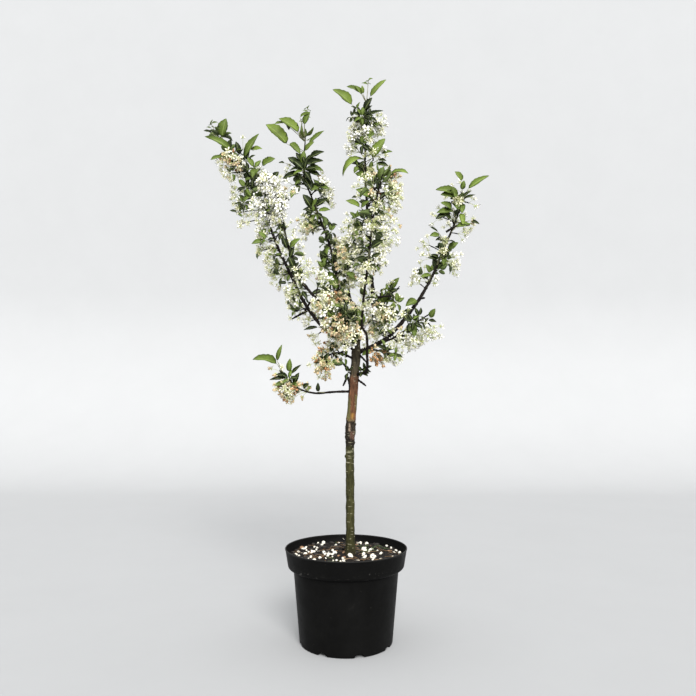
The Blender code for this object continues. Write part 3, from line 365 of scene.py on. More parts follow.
# Clumps of blossom, by bough: (across, down, how far faded, flowers)
UMBELS = {
    "leader": (
        (353, 122, 0.20, 8), (352, 132, 0.20, 8), (350, 142, 0.20, 6), (350, 149, 0.15, 5),
        (358, 130, 0.15, 7), (366, 134, 0.10, 5), (383, 124, 0.25, 7), (382, 134, 0.30, 6),
        (375, 121, 0.15, 5), (376, 148, 0.20, 4), (371, 169, 1.60, 8), (368, 152, 1.60, 5),
        (389, 171, 0.80, 4), (398, 180, 0.70, 8), (399, 190, 0.60, 8), (400, 200, 0.45, 8),
        (392, 196, 0.50, 6), (394, 184, 0.40, 6), (376, 193, 0.75, 7), (380, 199, 0.55, 6),
        (382, 208, 0.40, 7), (384, 214, 0.35, 7), (392, 210, 0.45, 6), (397, 218, 0.40, 5),
        (390, 222, 0.15, 6), (380, 225, 0.20, 8), (387, 231, 0.10, 7), (396, 230, 0.25, 5),
        (399, 238, 0.25, 4), (390, 241, 0.25, 6), (384, 248, 0.25, 6), (380, 238, 0.20, 7),
        (378, 252, 0.30, 7), (384, 258, 0.30, 6), (378, 268, 0.55, 6), (376, 262, 0.45, 6),
        (352, 226, 0.20, 9), (344, 228, 0.25, 7), (346, 235, 0.20, 8), (346, 243, 0.25, 8),
        (355, 240, 0.20, 8), (366, 227, 0.00, 6), (362, 233, 0.20, 7), (350, 250, 0.35, 8),
        (357, 252, 0.30, 8), (357, 262, 0.35, 8), (364, 268, 0.35, 7), (345, 264, 0.50, 8),
        (352, 273, 0.40, 8), (360, 276, 0.30, 8), (350, 278, 0.40, 6), (376, 273, 1.00, 3),
        (340, 248, 0.65, 7), (337, 257, 0.75, 8), (369, 309, 0.10, 5), (366, 316, 0.10, 5),
        (366, 303, 0.10, 3),
    ),
    "left_bough": (
        (221, 172, 0.40, 9), (228, 178, 0.35, 5), (240, 174, 0.15, 9), (227, 157, 0.70, 10),
        (236, 161, 0.72, 8), (218, 165, 0.50, 4), (234, 203, 0.30, 8), (232, 190, 0.30, 5),
        (236, 212, 0.20, 4), (238, 225, 1.60, 4), (244, 218, 0.30, 5), (262, 177, 0.05, 8),
        (266, 216, 0.05, 9), (262, 224, 0.20, 7), (260, 234, 0.35, 7), (262, 242, 0.30, 6),
        (259, 252, 1.60, 7), (266, 258, 0.35, 6), (268, 268, 0.45, 9), (272, 277, 0.45, 8),
        (279, 263, 0.35, 9), (286, 272, 0.05, 8), (272, 251, 0.40, 6), (303, 250, 0.15, 3),
        (312, 264, 0.20, 4), (316, 303, 0.60, 6), (287, 298, 0.45, 7), (286, 290, 0.35, 5),
        (294, 303, 0.30, 6), (306, 322, 0.35, 5), (312, 338, 0.40, 6), (309, 313, 0.30, 3),
        (316, 311, 0.60, 6), (291, 272, 0.30, 6), (247, 142, 0.20, 3), (260, 170, 0.20, 4),
    ),
    "left_inner_bough": (
        (255, 201, 0.05, 7), (252, 209, 0.05, 5), (257, 213, 0.10, 7), (261, 206, 0.05, 5),
        (264, 178, 0.05, 7), (269, 182, 0.00, 8), (275, 189, 0.00, 9), (275, 201, 0.00, 8),
        (272, 196, 0.00, 9), (266, 189, 0.00, 7), (278, 212, 0.05, 8), (273, 213, 0.05, 8),
        (280, 197, 0.00, 6), (286, 192, 0.50, 4), (276, 219, 0.10, 6), (280, 205, 0.05, 5),
        (304, 261, 0.10, 4), (304, 271, 0.25, 5), (320, 300, 0.60, 6), (327, 308, 0.05, 8),
        (317, 305, 0.60, 5), (331, 340, 0.60, 7),
    ),
    "left_centre_bough": (
        (307, 228, 0.50, 12), (300, 222, 0.45, 8), (314, 225, 0.55, 8), (303, 232, 0.50, 6),
        (285, 172, 0.30, 6), (284, 186, 0.20, 5), (325, 178, 0.20, 5), (326, 184, 0.30, 8),
        (331, 191, 0.30, 8), (330, 199, 0.30, 6), (340, 245, 0.55, 8), (341, 258, 0.60, 8),
        (334, 241, 0.45, 6), (345, 250, 0.60, 6), (320, 262, 0.40, 4), (318, 273, 0.70, 5),
        (345, 286, 0.50, 8), (335, 299, 0.95, 8), (331, 299, 0.95, 5), (342, 297, 0.80, 5),
        (323, 293, 0.40, 8), (326, 305, 0.10, 6), (331, 312, 0.35, 6), (322, 315, 0.60, 6),
        (324, 324, 0.80, 7), (340, 321, 0.75, 8), (341, 331, 0.86, 6), (350, 305, 0.60, 8),
        (345, 300, 0.50, 6), (316, 297, 0.50, 5),
    ),
    "centre_bough": (
        (366, 264, 1.60, 6), (366, 281, 1.60, 5), (374, 223, 1.60, 6), (376, 206, 1.60, 5),
        (363, 303, 1.60, 3),
    ),
    "right_bough": (
        (458, 199, 1.60, 9), (445, 239, 1.60, 7), (444, 252, 1.60, 10), (476, 203, 0.20, 3),
        (472, 226, 0.35, 6), (464, 235, 0.30, 4), (447, 223, 0.25, 3), (434, 211, 0.20, 4),
        (421, 240, 0.20, 5), (425, 254, 0.20, 5), (457, 262, 0.15, 9), (452, 258, 0.10, 5),
        (459, 268, 0.20, 4), (415, 270, 0.15, 7), (416, 279, 0.20, 5), (437, 282, 0.15, 4),
        (470, 194, 0.30, 3), (449, 187, 0.30, 2), (425, 279, 0.30, 3), (458, 182, 0.20, 2),
    ),
    "right_low_limb": (
        (426, 329, 0.00, 5), (434, 329, 0.10, 5), (438, 333, 0.20, 4), (425, 337, 0.15, 6),
        (432, 338, 0.20, 5), (415, 336, 0.25, 5), (420, 340, 0.30, 5), (405, 334, 0.45, 5),
        (401, 345, 0.30, 4), (410, 339, 0.30, 5), (403, 309, 0.10, 3),
    ),
    "inner_right_limb": (
        (400, 292, 0.25, 5), (403, 288, 0.20, 3), (392, 298, 0.30, 4), (397, 298, 0.10, 4),
    ),
    "fork_rise_limb": (
        (385, 314, 0.60, 11), (379, 309, 0.55, 7), (385, 306, 0.60, 5), (375, 314, 0.40, 6),
        (373, 321, 0.55, 6), (378, 318, 0.50, 7), (391, 309, 0.40, 6), (390, 321, 0.45, 5),
        (391, 316, 0.50, 6), (367, 321, 0.85, 7), (367, 326, 0.80, 5), (373, 330, 0.40, 7),
        (376, 334, 0.50, 5), (381, 331, 0.40, 4), (397, 338, 0.66, 5),
    ),
    "fork_low_right_limb": (
        (376, 357, 1.30, 7), (378, 361, 1.35, 6), (373, 354, 0.80, 4), (390, 358, 0.25, 5),
        (397, 361, 0.20, 4), (385, 356, 0.40, 4), (401, 356, 0.20, 3), (393, 345, 0.20, 4),
    ),
    "fork_left_limb": (
        (321, 352, 0.55, 6), (318, 360, 0.70, 6), (322, 366, 0.85, 8), (327, 371, 0.90, 5),
        (332, 358, 0.55, 6), (328, 349, 0.40, 4), (333, 364, 0.70, 4), (337, 356, 0.50, 4),
        (316, 367, 0.80, 3),
    ),
    "fork_front_limb": (
        (342, 343, 0.45, 5), (330, 324, 0.88, 8), (337, 328, 0.88, 7), (325, 327, 0.80, 7),
        (352, 330, 0.65, 7), (347, 329, 0.75, 8), (355, 332, 0.55, 6), (359, 338, 0.30, 3),
        (353, 307, 0.75, 7), (356, 312, 0.35, 6), (354, 323, 0.60, 6), (345, 338, 0.50, 6),
        (337, 335, 1.00, 5), (344, 327, 0.75, 6), (365, 335, 0.30, 4),
    ),
    "low_left_limb": (
        (283, 391, 0.72, 8), (285, 396, 0.76, 7), (279, 387, 0.68, 6), (291, 387, 0.88, 4),
        (275, 367, 0.65, 3), (288, 393, 0.76, 6), (283, 385, 0.76, 5), (281, 396, 0.74, 5),
        (287, 390, 0.85, 7),
    ),
}

# Round openings through which the photograph shows the wall: (across, down, radius)
OPENINGS = (
    (355, 290, 5), (356, 297, 5), (351, 296, 3), (367, 287, 3), (368, 293, 3), (378, 284, 5),
    (383, 277, 5), (391, 271, 9), (402, 266, 10), (296, 204, 8), (290, 214, 6), (288, 230, 4),
    (288, 185, 4), (309, 242, 8), (310, 252, 6), (307, 291, 3), (313, 280, 5), (406, 290, 6),
    (384, 290, 3), (306, 402, 9), (341, 369, 6), (335, 375, 5), (337, 364, 3), (419, 331, 3),
    (431, 322, 4), (407, 326, 3),
)

# Boughs that the blossom hides in the photograph, and boughs whose tips are all marked
HIDDEN_BOUGHS = ("leader", "left_inner_bough", "right_low_limb", "fork_front_limb",
                 "fork_rise_limb", "low_left_limb")
MARKED_TIPS = ("leader", "left_bough", "left_inner_bough", "right_bough", "right_low_limb",
               "inner_right_limb", "fork_low_right_limb", "fork_left_limb", "low_left_limb")

# Thin green shoots beyond the tips: (foot (x, z), top (x, z), depth)
SHOOTS = (
    ((0.049, 1.272), (0.054, 1.333), 0.016), ((-0.112, 1.238), (-0.114, 1.304), 0.168),
    ((-0.114, 1.300), (-0.104, 1.334), 0.168), ((-0.322, 1.200), (-0.341, 1.243), 0.064),
)

# Bare twigs, thorns and cut stubs, by bough: (foot across, foot down, end across, end down)
STUBS = {
    "trunk": (
        (347, 377, 343, 386), (348, 377, 350, 390), (356, 379, 366, 386), (350, 371, 332, 353),
        (358, 354, 366, 362),
    ),
    "left_bough": ((307, 311, 292, 319), (305, 311, 313, 297)),
    "left_inner_bough": ((302, 284, 313, 296),),
    "right_bough": ((419, 299, 425, 298), (446, 232, 456, 226), (456, 226, 470, 225)),
    "leader": ((372, 298, 392, 296), (374, 298, 363, 303)),
    "left_centre_bough": ((341, 297, 347, 303), (347, 298, 357, 307)),
    "fork_left_limb": ((345, 351, 338, 354),),
}

# The kinds of flowers: fresh, ageing, peach, withered to orange, and without petals. A flower is
# of the second, third or fourth kind above these fades. Above BARE_FADE a clump has lost its
# petals.
FRESH, AGEING, PEACH, WITHERED, BARE = range(5)
FADE_EDGES = (0.30, 0.68, 0.95)
BARE_FADE = 1.5

# How near a clump's mark is to its bough when they would cross, and how far before the bough,
# or behind it where that is negative, the clump then stands
CLUMP_NEAR, CLUMP_BEFORE, CLUMP_BEHIND = 0.030, 0.030, -0.016

# The tints of leaves, the dark one darkened as painted shade, and a marked leaf's width as a share of
# its length by kind // 3
SHADE_DARK, FULL, YOUNG = 0, 1, 2
MARKED_WIDTHS = (0.45, 0.60, 0.27)

# How far the crown may pass the source's box at its low and high corners, and the room that a
# leaf and a flower leave to the axis of every bough
BEYOND_LOW, BEYOND_HIGH = (0.024, 0.012, 0.0), (0.028, 0.012, 0.009)
LEAF_ROOM, FLOWER_ROOM = 0.0042, 0.0095

# Rosettes on the stem below the fork: (middle (x, z), depth, leaves, leaf length)
ROSETTES = (
    ((0.004, 0.612), -0.014, 4, 0.019), ((0.036, 0.612), -0.016, 6, 0.018),
    ((0.043, 0.620), -0.012, 3, 0.014),
)

Leaf = namedtuple("Leaf", "root along normal length width arch fold stalk tint")
Flower = namedtuple("Flower", "root along stalk sag facing radius tint")
Twig = namedtuple("Twig", "root middle tip low high woody")


class PotSettings(bpy.types.PropertyGroup):
    rim_radius: bpy.props.FloatProperty(
        name="Rim radius", description="Outer radius of the lip", default=0.1400, unit="LENGTH")
    height: bpy.props.FloatProperty(
        name="Height", description="From the floor to the lip", default=0.2100, unit="LENGTH")
    band_height: bpy.props.FloatProperty(
        name="Band height", description="Depth of the rim band", default=0.0380, unit="LENGTH")
    foot_radius: bpy.props.FloatProperty(
        name="Foot radius", description="Outer radius of the underside", default=0.1060,
        unit="LENGTH")
    wall: bpy.props.FloatProperty(
        name="Wall", description="Thickness of the moulded wall", default=0.0024, unit="LENGTH")
    notches: bpy.props.IntProperty(
        name="Drain notches", description="Notches round the foot", default=8, min=0)
    colour: bpy.props.FloatVectorProperty(
        name="Plastic", description="Colour of the plastic", default=(0.0026, 0.0026, 0.0025),
        subtype="COLOR", min=0, max=1)


class StemSettings(bpy.types.PropertyGroup):
    relief: bpy.props.FloatProperty(
        name="Relief", description="Height of the bark's relief", default=0.00045, unit="LENGTH")
    lenticels: bpy.props.IntProperty(
        name="Lenticels", description="Raised pores on the lower stem", default=110, min=0)
    olive: bpy.props.FloatVectorProperty(
        name="Lower bark", description="Colour below the graft", default=(0.0355, 0.0350, 0.0130),
        subtype="COLOR", min=0, max=1)
    union: bpy.props.FloatVectorProperty(
        name="Graft bark", description="Colour of the cracked union",
        default=(0.0290, 0.0245, 0.0175), subtype="COLOR", min=0, max=1)
    scion: bpy.props.FloatVectorProperty(
        name="Scion bark", description="Colour above the graft", default=(0.1340, 0.0610, 0.0310),
        subtype="COLOR", min=0, max=1)
    bough: bpy.props.FloatVectorProperty(
        name="Bough bark", description="Colour of the boughs", default=(0.0075, 0.0060, 0.0047),
        subtype="COLOR", min=0, max=1)


class FoliageSettings(bpy.types.PropertyGroup):
    density: bpy.props.FloatProperty(
        name="Density", description="Spurs along the boughs, as a share of the usual number",
        default=1.0, min=0.1, max=3.0, subtype="FACTOR")
    leaf_length: bpy.props.FloatProperty(
        name="Leaf length", description="Length of a rosette leaf's blade", default=0.0235,
        unit="LENGTH")
    full: bpy.props.FloatVectorProperty(
        name="Full leaf", description="Colour of a grown leaf", default=(0.084, 0.124, 0.021),
        subtype="COLOR", min=0, max=1)
    young: bpy.props.FloatVectorProperty(
        name="Young leaf", description="Colour of a new leaf", default=(0.124, 0.175, 0.031),
        subtype="COLOR", min=0, max=1)
    # The dark leaf's colour is partly a darker leaf green and partly painted shade: it is darkened to
    # stand for shade in the crown.
    dark: bpy.props.FloatVectorProperty(
        name="Dark leaf", description="Colour of a dark leaf, darkened as painted shade", default=(0.0135, 0.021, 0.005),
        subtype="COLOR", min=0, max=1)


class BlossomSettings(bpy.types.PropertyGroup):
    petal_length: bpy.props.FloatProperty(
        name="Petal length", description="Length of a fresh petal", default=0.0098, unit="LENGTH")
    stalk_length: bpy.props.FloatProperty(
        name="Stalk length", description="Length of a flower's stalk", default=0.0370,
        unit="LENGTH")
    flowers: bpy.props.IntProperty(
        name="Flowers", description="Flowers on each blossoming spur", default=12, min=0)
    white: bpy.props.FloatVectorProperty(
        name="Fresh petal", description="Colour of a fresh petal", default=(0.925, 0.915, 0.885),
        subtype="COLOR", min=0, max=1)
    cream: bpy.props.FloatVectorProperty(
        name="Ageing petal", description="Colour of an ageing petal", default=(0.930, 0.915, 0.680),
        subtype="COLOR", min=0, max=1)
    peach: bpy.props.FloatVectorProperty(
        name="Old petal", description="Colour of an old petal", default=(0.630, 0.450, 0.250),
        subtype="COLOR", min=0, max=1)
    orange: bpy.props.FloatVectorProperty(
        name="Withered petal", description="Colour of a withered petal",
        default=(0.435, 0.212, 0.092), subtype="COLOR", min=0, max=1)


class MixSettings(bpy.types.PropertyGroup):
    level: bpy.props.FloatProperty(
        name="Level", description="Height of the mix at the stem", default=0.1960, unit="LENGTH")
    perlite: bpy.props.IntProperty(
        name="Perlite", description="White lumps on the mix", default=86, min=0)
    chips: bpy.props.IntProperty(
        name="Bark chips", description="Flakes of bark on the mix", default=170, min=0)
    fibres: bpy.props.IntProperty(
        name="Fibres", description="Straws on the mix", default=46, min=0)
    colour: bpy.props.FloatVectorProperty(
        name="Mix", description="Colour of the damp mix", default=(0.007, 0.0050, 0.0035),
        subtype="COLOR", min=0, max=1)


class StageSettings(bpy.types.PropertyGroup):
    distance: bpy.props.FloatProperty(
        name="Camera distance", description="From the pot's axis", default=1.530, unit="LENGTH")
    side: bpy.props.FloatProperty(
        name="Camera side", description="To the right of the pot's axis", default=0.0043, unit="LENGTH")
    height: bpy.props.FloatProperty(
        name="Camera height", description="Above the floor", default=0.552, unit="LENGTH")
    tilt: bpy.props.FloatProperty(
        name="Camera tilt", description="Upwards from level", default=math.radians(4.4),
        subtype="ANGLE")
    lens: bpy.props.FloatProperty(
        name="Lens", description="Focal length on a 36 mm sensor", default=33.62, unit="CAMERA")
    key: bpy.props.FloatProperty(
        name="Key light", description="Strength of the soft main light", default=4.4)
    fill: bpy.props.FloatProperty(
        name="Sky", description="Strength of the light from all round", default=1.24)


GROUPS = {
    "pot_settings": PotSettings,
    "stem_settings": StemSettings,
    "foliage_settings": FoliageSettings,
    "blossom_settings": BlossomSettings,
    "mix_settings": MixSettings,
    "stage_settings": StageSettings,
}


def unit(vectors):
    """Vectors divided by their lengths."""
    return vectors / np.linalg.norm(vectors, axis=-1, keepdims=True)


def smooth_line(points):
    """A Catmull-Rom curve through the points, resampled every 4 mm."""
    knots = np.array(points, float)
    knots = np.vstack([2 * knots[0] - knots[1], knots, 2 * knots[-1] - knots[-2]])
    t = np.linspace(0, 1, 24, endpoint=False)[:, None]
    a, b, c, d = (knots[k:len(knots) - 3 + k, None] for k in range(4))
    runs = 0.5 * (2 * b + (c - a) * t + (2 * a - 5 * b + 4 * c - d) * t**2
                  + (3 * b - a - 3 * c + d) * t**3)
    dense = np.vstack([runs.reshape(-1, 3), knots[-2:-1]])
    reach = np.concatenate([[0], np.cumsum(np.linalg.norm(np.diff(dense, axis=0), axis=1))])
    even = np.linspace(0, reach[-1], max(3, round(reach[-1] / 0.004) + 1))
    return np.stack([np.interp(even, reach, dense[:, k]) for k in range(3)], axis=1)


def along_line(line, shares):
    """Points at shares of an evenly stepped line."""
    place = np.clip(shares, 0, 1) * (len(line) - 1)
    rows = np.arange(len(line))
    return np.stack([np.interp(place, rows, line[:, k]) for k in range(3)], axis=-1)


def line_length(line):
    """The length of a line of points."""
    return float(np.linalg.norm(np.diff(line, axis=0), axis=1).sum())


@lru_cache(maxsize=1)
def lines():
    """The line of the trunk and of every bough, each starting on its parent's axis."""
    found = {"trunk": smooth_line(TRUNK_COURSE)}
    for bough in BOUGHS:
        start = along_line(found[bough.parent], bough.leaves_at)
        found[bough.name] = smooth_line([start, *bough.course])
    return found


def waves(points, size, seed, count=16):
    """A smooth pattern about -1 to 1: the mean of sine waves of a size in seeded directions."""
    rng = np.random.default_rng(seed)
    ways = unit(rng.normal(size=(count, 3))) * (TAU / size * rng.uniform(0.6, 1.7, (count, 1)))
    phases = rng.uniform(0, TAU, count)
    return np.sin(points @ ways.T + phases).sum(axis=-1) * math.sqrt(2 / count) * 0.7


def bell(value, middle, spread):
    """A smooth swelling round a middle value."""
    return np.exp(-(((value - middle) / spread) ** 2))


def circle(side, over, turn):
    """Directions at angles from one direction towards another that is square to it."""
    return np.cos(turn)[..., None] * side + np.sin(turn)[..., None] * over


def towards(first, second, angle):
    """One direction turned by an angle towards another that is square to it."""
    return math.cos(angle) * first + math.sin(angle) * second


def square_pair(axis, rng):
    """Two directions square to an axis and to each other."""
    across = unit(np.cross(axis, rng.normal(size=3)))
    return across, np.cross(axis, across)


def square_part(facing, way):
    """A direction turned as little as possible until it is square to another."""
    return unit(facing - way * (facing @ way))


def round_turns(sides):
    """The angles of a ring's sides."""
    return np.arange(sides) * TAU / sides


def round_frame(line, rows, sides):
    """A line in even rows, its tangents, and a ring's angles and directions at each row.

    A ring starts square to the line and to depth, or to a slant where the line runs along depth.
    """
    path = along_line(line, np.linspace(0, 1, rows))
    tangents = unit(np.gradient(path, axis=0))
    side = unit(np.cross(tangents, DEPTH + 0.35 * UP * (abs(tangents[:, 1:2]) > 0.9)))
    turn = round_turns(sides)
    return path, tangents, turn, circle(side[:, None], np.cross(tangents, side)[:, None], turn)


def closed_tubes(rings, start, end):
    """Vertices and faces of closed tubes. Rings are (tubes, rows, sides, 3), poles (tubes, 3).

    Each ring joins the next by four-sided faces, and the poles close both ends with fans.
    A face of three corners has -1 for its fourth.
    """
    count, rows, sides, _ = rings.shape
    grid = np.arange(rows * sides).reshape(rows, sides)
    low, high = grid[:-1], grid[1:]
    walls = np.stack([low, np.roll(low, -1, 1), np.roll(high, -1, 1), high], -1).reshape(-1, 4)
    none, pole = np.full(sides, -1), np.full(sides, rows * sides)
    foot = np.stack([pole, np.roll(grid[0], -1), grid[0], none], -1)
    head = np.stack([pole + 1, grid[-1], np.roll(grid[-1], -1), none], -1)
    one = np.vstack([walls, foot, head])
    step = (np.arange(count) * (rows * sides + 2))[:, None, None]
    faces = np.where(one[None] < 0, -1, one[None] + step).reshape(-1, 4)
    vertices = np.concatenate([rings.reshape(count, -1, 3), start[:, None], end[:, None]], axis=1)
    return vertices.reshape(-1, 3), faces


def tubes(paths, radii, sides, reference):
    """Closed round tubes along paths (tubes, rows, 3), with a radius at each row.

    A ring's side is square to the path and to the tube's reference direction.
    """
    tangents = unit(np.gradient(paths, axis=1))
    side = unit(np.cross(tangents, reference[:, None]))
    over = np.cross(tangents, side)
    ring = circle(side[..., None, :], over[..., None, :], round_turns(sides))
    rings = paths[:, :, None] + ring * np.broadcast_to(radii, paths.shape[:2])[..., None, None]
    return closed_tubes(rings, paths[:, 0], paths[:, -1])


def joined(shapes):
    """One list of vertices and faces from several."""
    vertices, faces, first = [], [], 0
    for points, corners in shapes:
        vertices.append(points)
        faces.append(np.where(corners < 0, -1, corners + first))
        first += len(points)
    return np.vstack(vertices), np.vstack(faces)


def make_piece(name, shape, materials, nodes=(), smooth=True, groups=None):
    """Puts vertices and faces into a mesh object that rides on the root and stands for nodes."""
    vertices, faces = shape
    mesh = bpy.data.meshes.new(name)
    sizes = (faces >= 0).sum(axis=1)
    corners = faces[faces >= 0].astype(np.int32)
    mesh.vertices.add(len(vertices))
    mesh.vertices.foreach_set("co", np.ascontiguousarray(vertices, np.float32).ravel())
    mesh.loops.add(len(corners))
    mesh.loops.foreach_set("vertex_index", corners)
    mesh.polygons.add(len(faces))
    starts = np.concatenate([[0], np.cumsum(sizes)[:-1]]).astype(np.int32)
    mesh.polygons.foreach_set("loop_start", starts)
    mesh.update(calc_edges=True)
    for material in materials:
        mesh.materials.append(material)
    if groups is not None:
        mesh.polygons.foreach_set("material_index", groups.astype(np.int32))
    if smooth:
        mesh.shade_smooth()
    piece = bpy.data.objects.new(name, mesh)
    bpy.context.scene.collection.objects.link(piece)
    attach(piece, "root")
    if nodes:
        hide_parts(*nodes)
    return piece


def node(tree, kind, links=(), **values):
    """A shader node with its own values set and its inputs linked."""
    made = tree.nodes.new(kind)
    for key, value in values.items():
        setattr(made, key, value)
    for name, source in dict(links).items():
        if hasattr(source, "is_output"):
            tree.links.new(source, made.inputs[name])
        else:
            made.inputs[name].default_value = source
    return made


def noise(tree, scale, detail=4.0, rough=0.6, stretch=(1, 1, 1)):
    """A noise pattern on Object coordinates, stretched along the axes. Gives its value."""
    place = node(tree, "ShaderNodeTexCoord").outputs["Object"]
    mapped = node(tree, "ShaderNodeMapping", {"Vector": place, "Scale": stretch})
    made = node(tree, "ShaderNodeTexNoise", {"Vector": mapped.outputs["Vector"], "Scale": scale,
                                             "Detail": detail, "Roughness": rough})
    return made.outputs["Fac"]


def ramp(tree, factor, stops):
    """Colours along a factor: (place, colour) for each stop."""
    made = node(tree, "ShaderNodeValToRGB", {"Fac": factor})
    elements = made.color_ramp.elements
    while len(elements) < len(stops):
        elements.new(0.5)
    for element, (place, colour) in zip(elements, stops):
        element.position = place
        element.color = (*colour, 1.0)
    return made.outputs["Color"]


def blend_colours(tree, factor, first, second, mode="MIX"):
    """Two colours mixed by a factor."""
    made = node(tree, "ShaderNodeMix", data_type="RGBA", blend_type=mode)
    for number, source in ((0, factor), (6, first), (7, second)):
        socket = made.inputs[number]
        if hasattr(source, "is_output"):
            tree.links.new(source, socket)
        elif isinstance(source, (int, float)):
            socket.default_value = source
        else:
            socket.default_value = (*source, 1.0)
    return made.outputs[2]


def mottled(tree, stops, *pattern):
    """Colours along a noise: (place, colour) for each stop, then the noise's values."""
    return ramp(tree, noise(tree, *pattern), stops)


def onset(tree, value, low, high):
    """0 up to a value's low bound, 1 from its high bound, and a slope between them."""
    return ramp(tree, value, ((low, BLACK), (high, WHITE)))


def grain(tree, scale, detail, rough, strength, distance, stretch=(1, 1, 1)):
    """A bump from a noise, with the strength and the depth in metres."""
    made = node(tree, "ShaderNodeBump", {"Height": noise(tree, scale, detail, rough, stretch),
                                         "Strength": strength, "Distance": distance})
    return made.outputs["Normal"]


def new_material(name, roughness, specular):
    """A material whose Principled shader has a roughness and a specular level, and its tree."""
    material = bpy.data.materials.new(name)
    material.use_nodes = True
    shader = material.node_tree.nodes["Principled BSDF"]
    shader.inputs["Roughness"].default_value = roughness
    shader.inputs["Specular IOR Level"].default_value = specular
    return material, material.node_tree


def linked(material, **sources):
    """A material whose shader takes its inputs from nodes: Base_Color, Normal and Roughness."""
    tree = material.node_tree
    shader = tree.nodes["Principled BSDF"]
    for name, source in sources.items():
        tree.links.new(source, shader.inputs[name.replace("_", " ")])
    return material


def scaled(colour, factor):
    """A colour made lighter or darker."""
    return tuple(min(1.0, channel * factor) for channel in colour)


def mixed(colour, other, share):
    """A colour with a share of another."""
    return tuple((1 - share) * own + share * new for own, new in zip(colour, other))


def grey(value):
    """A grey of a value, which darkens or lightens what it is multiplied with."""
    return (value, value, value)


BLACK, WHITE = grey(0.0), grey(1.0)


def speckled_material(name, colour, spread, scale, roughness, bumps=None, specular=0.5):
    """A colour that wanders between darker and lighter over a noise, with an optional bump."""
    material, tree = new_material(name, roughness, specular)
    stops = ((0.28, scaled(colour, 1 - spread)), (0.52, colour), (0.76, scaled(colour, 1 + spread)))
    linked(material, Base_Color=mottled(tree, stops, scale, 5.0, 0.65))
    if bumps:
        size, strength, distance = bumps
        linked(material, Normal=grain(tree, size, 6.0, 0.6, strength, distance))
    return material


def band(tree, value, low, high, soft):
    """1 where a value lies between two bounds, and 0 beyond a soft edge."""
    stops = (low - soft, BLACK), (low, WHITE), (high, WHITE), (high + soft, BLACK)
    return ramp(tree, value, stops)


def product(tree, *patterns):
    """Patterns multiplied with each other."""
    made = patterns[0]
    for pattern in patterns[1:]:
        made = blend_colours(tree, 1.0, made, pattern, "MULTIPLY")
    return made


def wandering(tree, value, scale, reach):
    """A coordinate shifted by a noise, so that bands along it have uneven edges."""
    made = node(tree, "ShaderNodeMath", operation="MULTIPLY_ADD")
    tree.links.new(noise(tree, scale, 4.0, 0.6, (1, 1, 0.6)), made.inputs[0])
    made.inputs[1].default_value = reach
    tree.links.new(value, made.inputs[2])
    back = node(tree, "ShaderNodeMath", operation="SUBTRACT")
    tree.links.new(made.outputs[0], back.inputs[0])
    back.inputs[1].default_value = reach / 2
    return back.outputs[0]


def stem_material(settings):
    """Bark in zones up the stem: olive, cracked grey graft, warm scion, grey brown top.

    The zones are stops on Object height, shifted by a noise so that their edges wander. Patches
    on the front of the graft and scion are bands of height times bands of Object X.
    """
    material, tree = new_material("stem_bark", 0.75, 0.08)
    place = node(tree, "ShaderNodeTexCoord").outputs["Object"]
    axes = node(tree, "ShaderNodeSeparateXYZ", {"Vector": place})
    height, across = wandering(tree, axes.outputs["Z"], 60.0, 0.030), axes.outputs["X"]
    close = wandering(tree, axes.outputs["Z"], 150.0, 0.010)
    edge = wandering(tree, across, 90.0, 0.006)
    low, union = tuple(settings.olive), tuple(settings.union)
    scion, top = tuple(settings.scion), (0.048, 0.041, 0.027)
    zones = ramp(tree, height, (
        (0.190, (0.022, 0.016, 0.010)), (0.214, scaled(low, 0.75)), (0.340, low),
        (0.436, scaled(low, 0.9)), (0.444, scaled(union, 0.75)), (0.470, union),
        (0.499, scaled(union, 0.7)), (0.503, scion), (0.560, scaled(scion, 0.75)),
        (0.597, (0.110, 0.052, 0.030)), (0.608, (0.056, 0.046, 0.029)), (0.640, top),
        (0.720, scaled(top, 0.6))))
    stops = (0.34, (0.50, 0.52, 0.50)), (0.50, grey(0.95)), (0.66, (1.45, 1.42, 1.40))
    mottle = mottled(tree, stops, 62.0, 5.0, 0.65, (1, 1, 0.4))
    stops = (0.30, grey(0.45)), (0.52, grey(0.95)), (0.72, (1.5, 1.45, 1.35))
    fine = mottled(tree, stops, 240.0, 6.0, 0.7, (1, 1, 0.22))
    tone = product(tree, zones, mottle, fine)
    for heights, sides, colour in BARK_PATCHES:
        mask = product(tree, band(tree, close, *heights), band(tree, edge, *sides))
        tone = blend_colours(tree, mask, tone, product(tree, colour, fine))
    cells = node(tree, "ShaderNodeTexVoronoi", {"Vector": place, "Scale": 150.0},
                 feature="DISTANCE_TO_EDGE")
    cracks = ramp(tree, cells.outputs["Distance"], ((0.02, (0.28, 0.25, 0.22)), (0.10, WHITE)))
    graft = band(tree, height, 0.446, 0.498, 0.010)
    tone = blend_colours(tree, graft, tone, product(tree, tone, cracks))
    pores = onset(tree, noise(tree, 170.0, 2.0, 0.4, (0.45, 0.45, 2.2)), 0.655, 0.70)
    tone = blend_colours(tree, pores, tone, (0.200, 0.186, 0.125))
    relief = grain(tree, 420.0, 6.0, 0.65, 0.5, 0.0006, (1, 1, 0.35))
    return linked(material, Base_Color=tone, Normal=relief)


def bough_material(settings):
    """Dark bark with pale grey flecks and fine rings."""
    material, tree = new_material("bough_bark", 0.75, 0.08)
    dark = tuple(settings.bough)
    stops = ((0.30, scaled(dark, 0.55)), (0.50, dark), (0.70, (0.022, 0.018, 0.013)),
             (0.86, (0.070, 0.060, 0.046)))
    tone = mottled(tree, stops, 120.0, 6.0, 0.7)
    return linked(material, Base_Color=tone, Normal=grain(tree, 520.0, 6.0, 0.7, 0.55, 0.0006))


